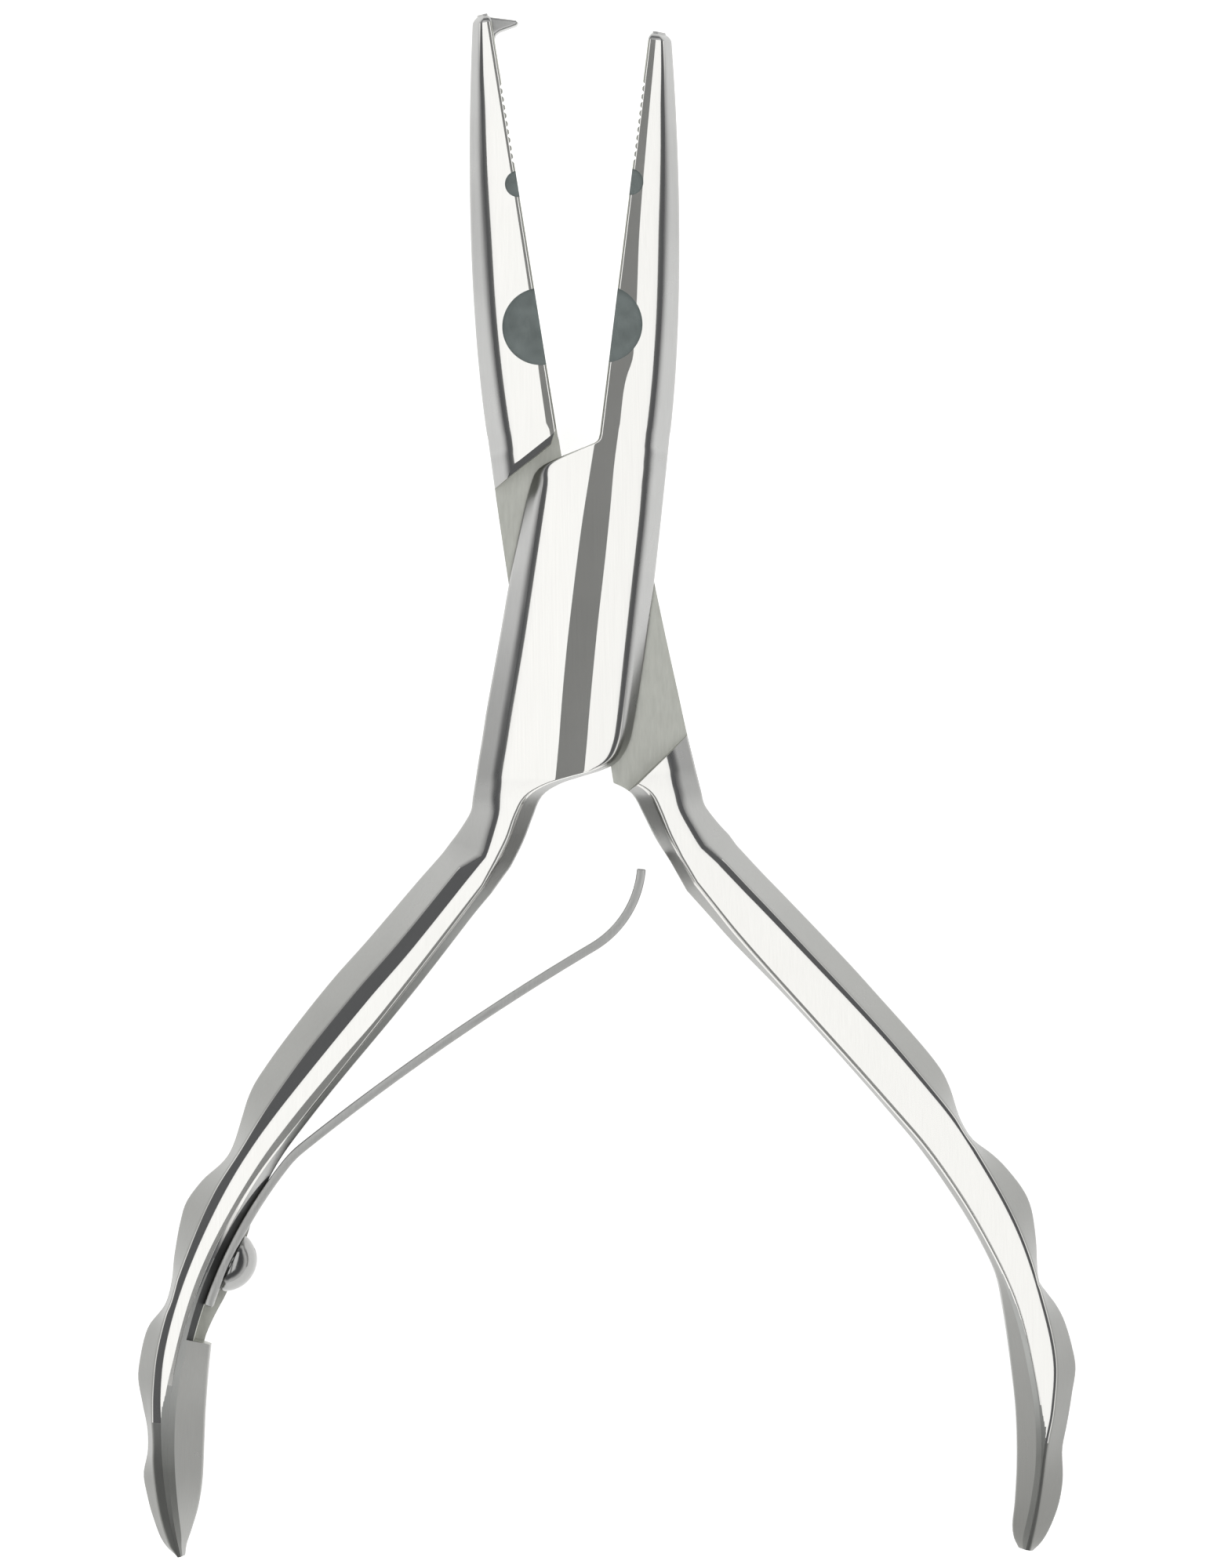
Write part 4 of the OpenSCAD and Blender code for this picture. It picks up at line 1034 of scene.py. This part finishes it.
rim = [screw.edges.new(pair) for pair in zip(dots, dots[1:])]
axis = {"cent": (0, 0, 0), "axis": (0, 0, 1), "dvec": (0, 0, 0)}
bmesh.ops.spin(screw, geom=rim + dots, angle=2 * math.pi, steps=ROUND_SIDES, use_merge=True, **axis)
bmesh.ops.remove_doubles(screw, verts=screw.verts, dist=MERGE)
bmesh.ops.recalc_face_normals(screw, faces=screw.faces)
spring_screw = new_piece("spring_screw_turned", screw)
spring_screw.data.materials.append(TURNED)
driver = bmesh.new()
slot_half = SLOT_WIDTH / 2
corners = [(-slot_half, -HEAD_D), (slot_half, -HEAD_D), (slot_half, HEAD_D), (-slot_half, HEAD_D)]
prism(driver, corners, HEAD_H - SLOT_DEPTH, HEAD_H + PAST)
# painted shade: the faces of the slot get a near-black steel
carve(spring_screw, driver, SHADE_PAINTED_STEEL)
print("screw", HEAD_D, "mm wide, faces", len(spring_screw.data.polygons))

# %% [markdown]
# ## Put the screw in its place
# The screw stands square on the seat, so it is laid on its side and turned to the seat's slant. A round
# cut in the handle gives its head room.

# %% Seat the screw
# place along the handle, and room round the head
SCREW_AT, HEAD_ROOM = 43.2, 0.15
screw_angle = foot_angle(SCREW_AT)
tip_over = Matrix.Rotation(math.radians(90), 4, "Y")
lay_down = Matrix.Rotation(math.radians(HANDLE_TURN - screw_angle), 4, "Z") @ tip_over
seat_point = on_ring(screw_angle, SEAT_R - head_seat)
spring_screw.data.transform(Matrix.Translation((*seat_point, middle)) @ lay_down)
head_cut = bmesh.new()
rod(head_cut, 0, 0, HEAD_D / 2 + HEAD_ROOM, LEAF_THICKNESS / 2, SEAT_CUT)
floor_point = Matrix.Translation((*on_ring(screw_angle, SEAT_R), middle))
bmesh.ops.transform(head_cut, matrix=floor_point @ lay_down, verts=head_cut.verts)
# painted shade: the faces of the cut round the head get a near-black steel
carve(box_half, head_cut, SHADE_PAINTED_STEEL)
print("screw head seat", round(head_seat, 2), "mm above the milled flat")

# %% [markdown]
# ## Pivot pin
# A plain rod fills its closed hole. A rivet with heads would be wrong here, because both faces are ground
# flush.

# %% Make the pin
pin = bmesh.new()
rod(pin, 0, 0, PIN_D / 2, SKIN, thickness - SKIN)
pivot_pin = new_piece("pivot_pin_rod", pin)
pivot_pin.data.materials.append(LAPPED)
print("pin", PIN_D, "mm thick and", round(thickness - 2 * SKIN, 1), "mm long")

# %% [markdown]
# ## Place, shade and attach
# Each piece is turned from the closed pose to the stored one and scaled to metres in its mesh, so its
# object stays at the origin. Faces are smooth, and edges where faces meet at 25 degrees or more are kept
# sharp.

# %% Place the pieces on their bodies
SHARP = math.radians(25)
PIECES = [
    (box_half, -HALF_OPEN, "box_side", "box_half", "polished_steel"),
    (tongue_half, HALF_OPEN, "tongue_side", "tongue_half", "polished_steel"),
    (pivot_pin, -HALF_OPEN, "box_side", "pivot_pin", "polished_steel"),
    (leaf_spring, -HALF_OPEN, "box_side", "leaf_spring", "spring_steel"),
    (spring_screw, -HALF_OPEN, "box_side", "spring_screw", "screw_steel"),
]
for piece, angle, body, node, slot_name in PIECES:
    turn = Matrix.Rotation(math.radians(angle), 4, "Z")
    piece.data.transform(Matrix.Scale(MM, 4) @ turn)
    bm = bmesh.new()
    bm.from_mesh(piece.data)
    for face in bm.faces:
        face.smooth = True
    for edge in bm.edges:
        edge.smooth = edge.is_manifold and edge.calc_face_angle() < SHARP
    triangles = sum(len(f.verts) - 2 for f in bm.faces)
    open_edges = sum(not e.is_manifold for e in bm.edges)
    print(piece.name, "triangles", triangles, "open edges", open_edges)
    bm.to_mesh(piece.data)
    bm.free()
    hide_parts(node)
    if piece is not leaf_spring:
        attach(piece, body)

# %% [markdown]
# ## The spring's placement
# When the handles are squeezed, the tongue half presses on the curl. Here the spring is not bent: its
# placement is only baked into its mesh.

# %% Bake the spring's placement
turn = Matrix.Rotation(math.radians(-HALF_OPEN), 2)
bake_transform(leaf_spring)

# %% [markdown]
# ## Table
# The tool lies on a pale sheet of paper. A little light of its own keeps the paper white under the tool,
# as a lit table does, and the steep outer bevels mirror it.

# %% Set the table
# half width in metres, and its gap to the tool in millimetres
TABLE_HALF, TABLE_GAP = 1.5, 0.02
PAPER_ROUGHNESS, PAPER_GLOW = 0.9, 0.78
sheet = bmesh.new()
bmesh.ops.create_grid(sheet, x_segments=1, y_segments=1, size=TABLE_HALF)
bmesh.ops.translate(sheet, verts=sheet.verts, vec=(0, 0, -TABLE_GAP * MM))
floor = new_piece("table", sheet)
paper = bpy.data.materials.new("matte_paper")
paper.use_nodes = True
paper_shader = paper.node_tree.nodes["Principled BSDF"]
paper_shader.inputs["Base Color"].default_value = linear("#e6e6e4")
paper_shader.inputs["Roughness"].default_value = PAPER_ROUGHNESS
paper_shader.inputs["Emission Color"].default_value = linear("#ffffff")
paper_shader.inputs["Emission Strength"].default_value = PAPER_GLOW
floor.data.materials.append(paper)
print("table", floor.name, "with", paper.name)

# %% [markdown]
# ## Lights
# Two long soft boxes hang one to each side, with a dark gap between them above the camera. Flat faces
# mirror the gap and look grey, and facets that tilt a few degrees mirror a soft box and look white. The
# room is bright near the floor and dark further up, which draws the dark lines along the edges.

# %% Hang the lights
# the boxes in metres and watts: height, half length and power of both, then the reach of each across
BOX_HEIGHT, BOX_HALF, BOX_POWER = 0.6, 0.6, 1.64
LEFT_BOX, RIGHT_BOX = (-0.5, -0.075), (0.06, 0.5)
# shades of the room from level to straight up
LEVEL_SHADE, UPPER_SHADE = "#ffffff", "#8b8c8b"
ROOM_SHADES = [(0.2, "#f6f6f5"), (0.33, "#646567"), (0.6, "#5e5f61")]


def soft_box(name, x_from, x_to):
    """Rectangular soft box that hangs level and shines down."""
    data = bpy.data.lights.new(name, "AREA")
    data.shape, data.size, data.size_y = "RECTANGLE", x_to - x_from, 2 * BOX_HALF
    data.energy = BOX_POWER
    lamp = bpy.data.objects.new(name, data)
    lamp.location = ((x_from + x_to) / 2, 0, BOX_HEIGHT)
    bpy.context.scene.collection.objects.link(lamp)


soft_box("left_soft_box", *LEFT_BOX)
soft_box("right_soft_box", *RIGHT_BOX)
world = bpy.data.worlds.new("dim_studio")
world.use_nodes = True
studio = world.node_tree
height = add(studio, "ShaderNodeSeparateXYZ", {0: add(studio, "ShaderNodeTexCoord").outputs["Generated"]})
ramp = add(studio, "ShaderNodeValToRGB", {"Fac": height.outputs["Z"]})
shades = ramp.color_ramp.elements
shades[0].position, shades[1].position = 0.0, 1.0
shades[0].color, shades[1].color = linear(LEVEL_SHADE), linear(UPPER_SHADE)
for place, shade in ROOM_SHADES:
    shades.new(place).color = linear(shade)
studio.links.new(ramp.outputs["Color"], studio.nodes["Background"].inputs["Color"])
bpy.context.scene.world = world
bpy.context.scene.view_settings.view_transform = "Standard"
print("lights", [lamp.name for lamp in bpy.data.lights])

# %% [markdown]
# ## Camera
# The view is straight down. A long lens far away keeps the sides from showing. The picture's centre and
# tilt put the pivot where the photograph has it.

# %% Place the camera
# height in metres, then height and centre of the picture in millimetres, its tilt, and the sensor
CAMERA_HEIGHT = 1.0
PICTURE_HEIGHT, PICTURE_CENTRE = 142.35, (1.80, -18.40)
PICTURE_TILT = -1.045
SENSOR = 36.0
lens = bpy.data.cameras.new("camera")
lens.sensor_width = SENSOR
lens.lens = lens.sensor_width * (CAMERA_HEIGHT / MM - middle) / PICTURE_HEIGHT
camera = bpy.data.objects.new("camera", lens)
camera.location = (PICTURE_CENTRE[0] * MM, PICTURE_CENTRE[1] * MM, CAMERA_HEIGHT)
camera.rotation_euler = (0, 0, math.radians(PICTURE_TILT))
bpy.context.scene.collection.objects.link(camera)
bpy.context.scene.camera = camera
print("lens", round(lens.lens), "mm")
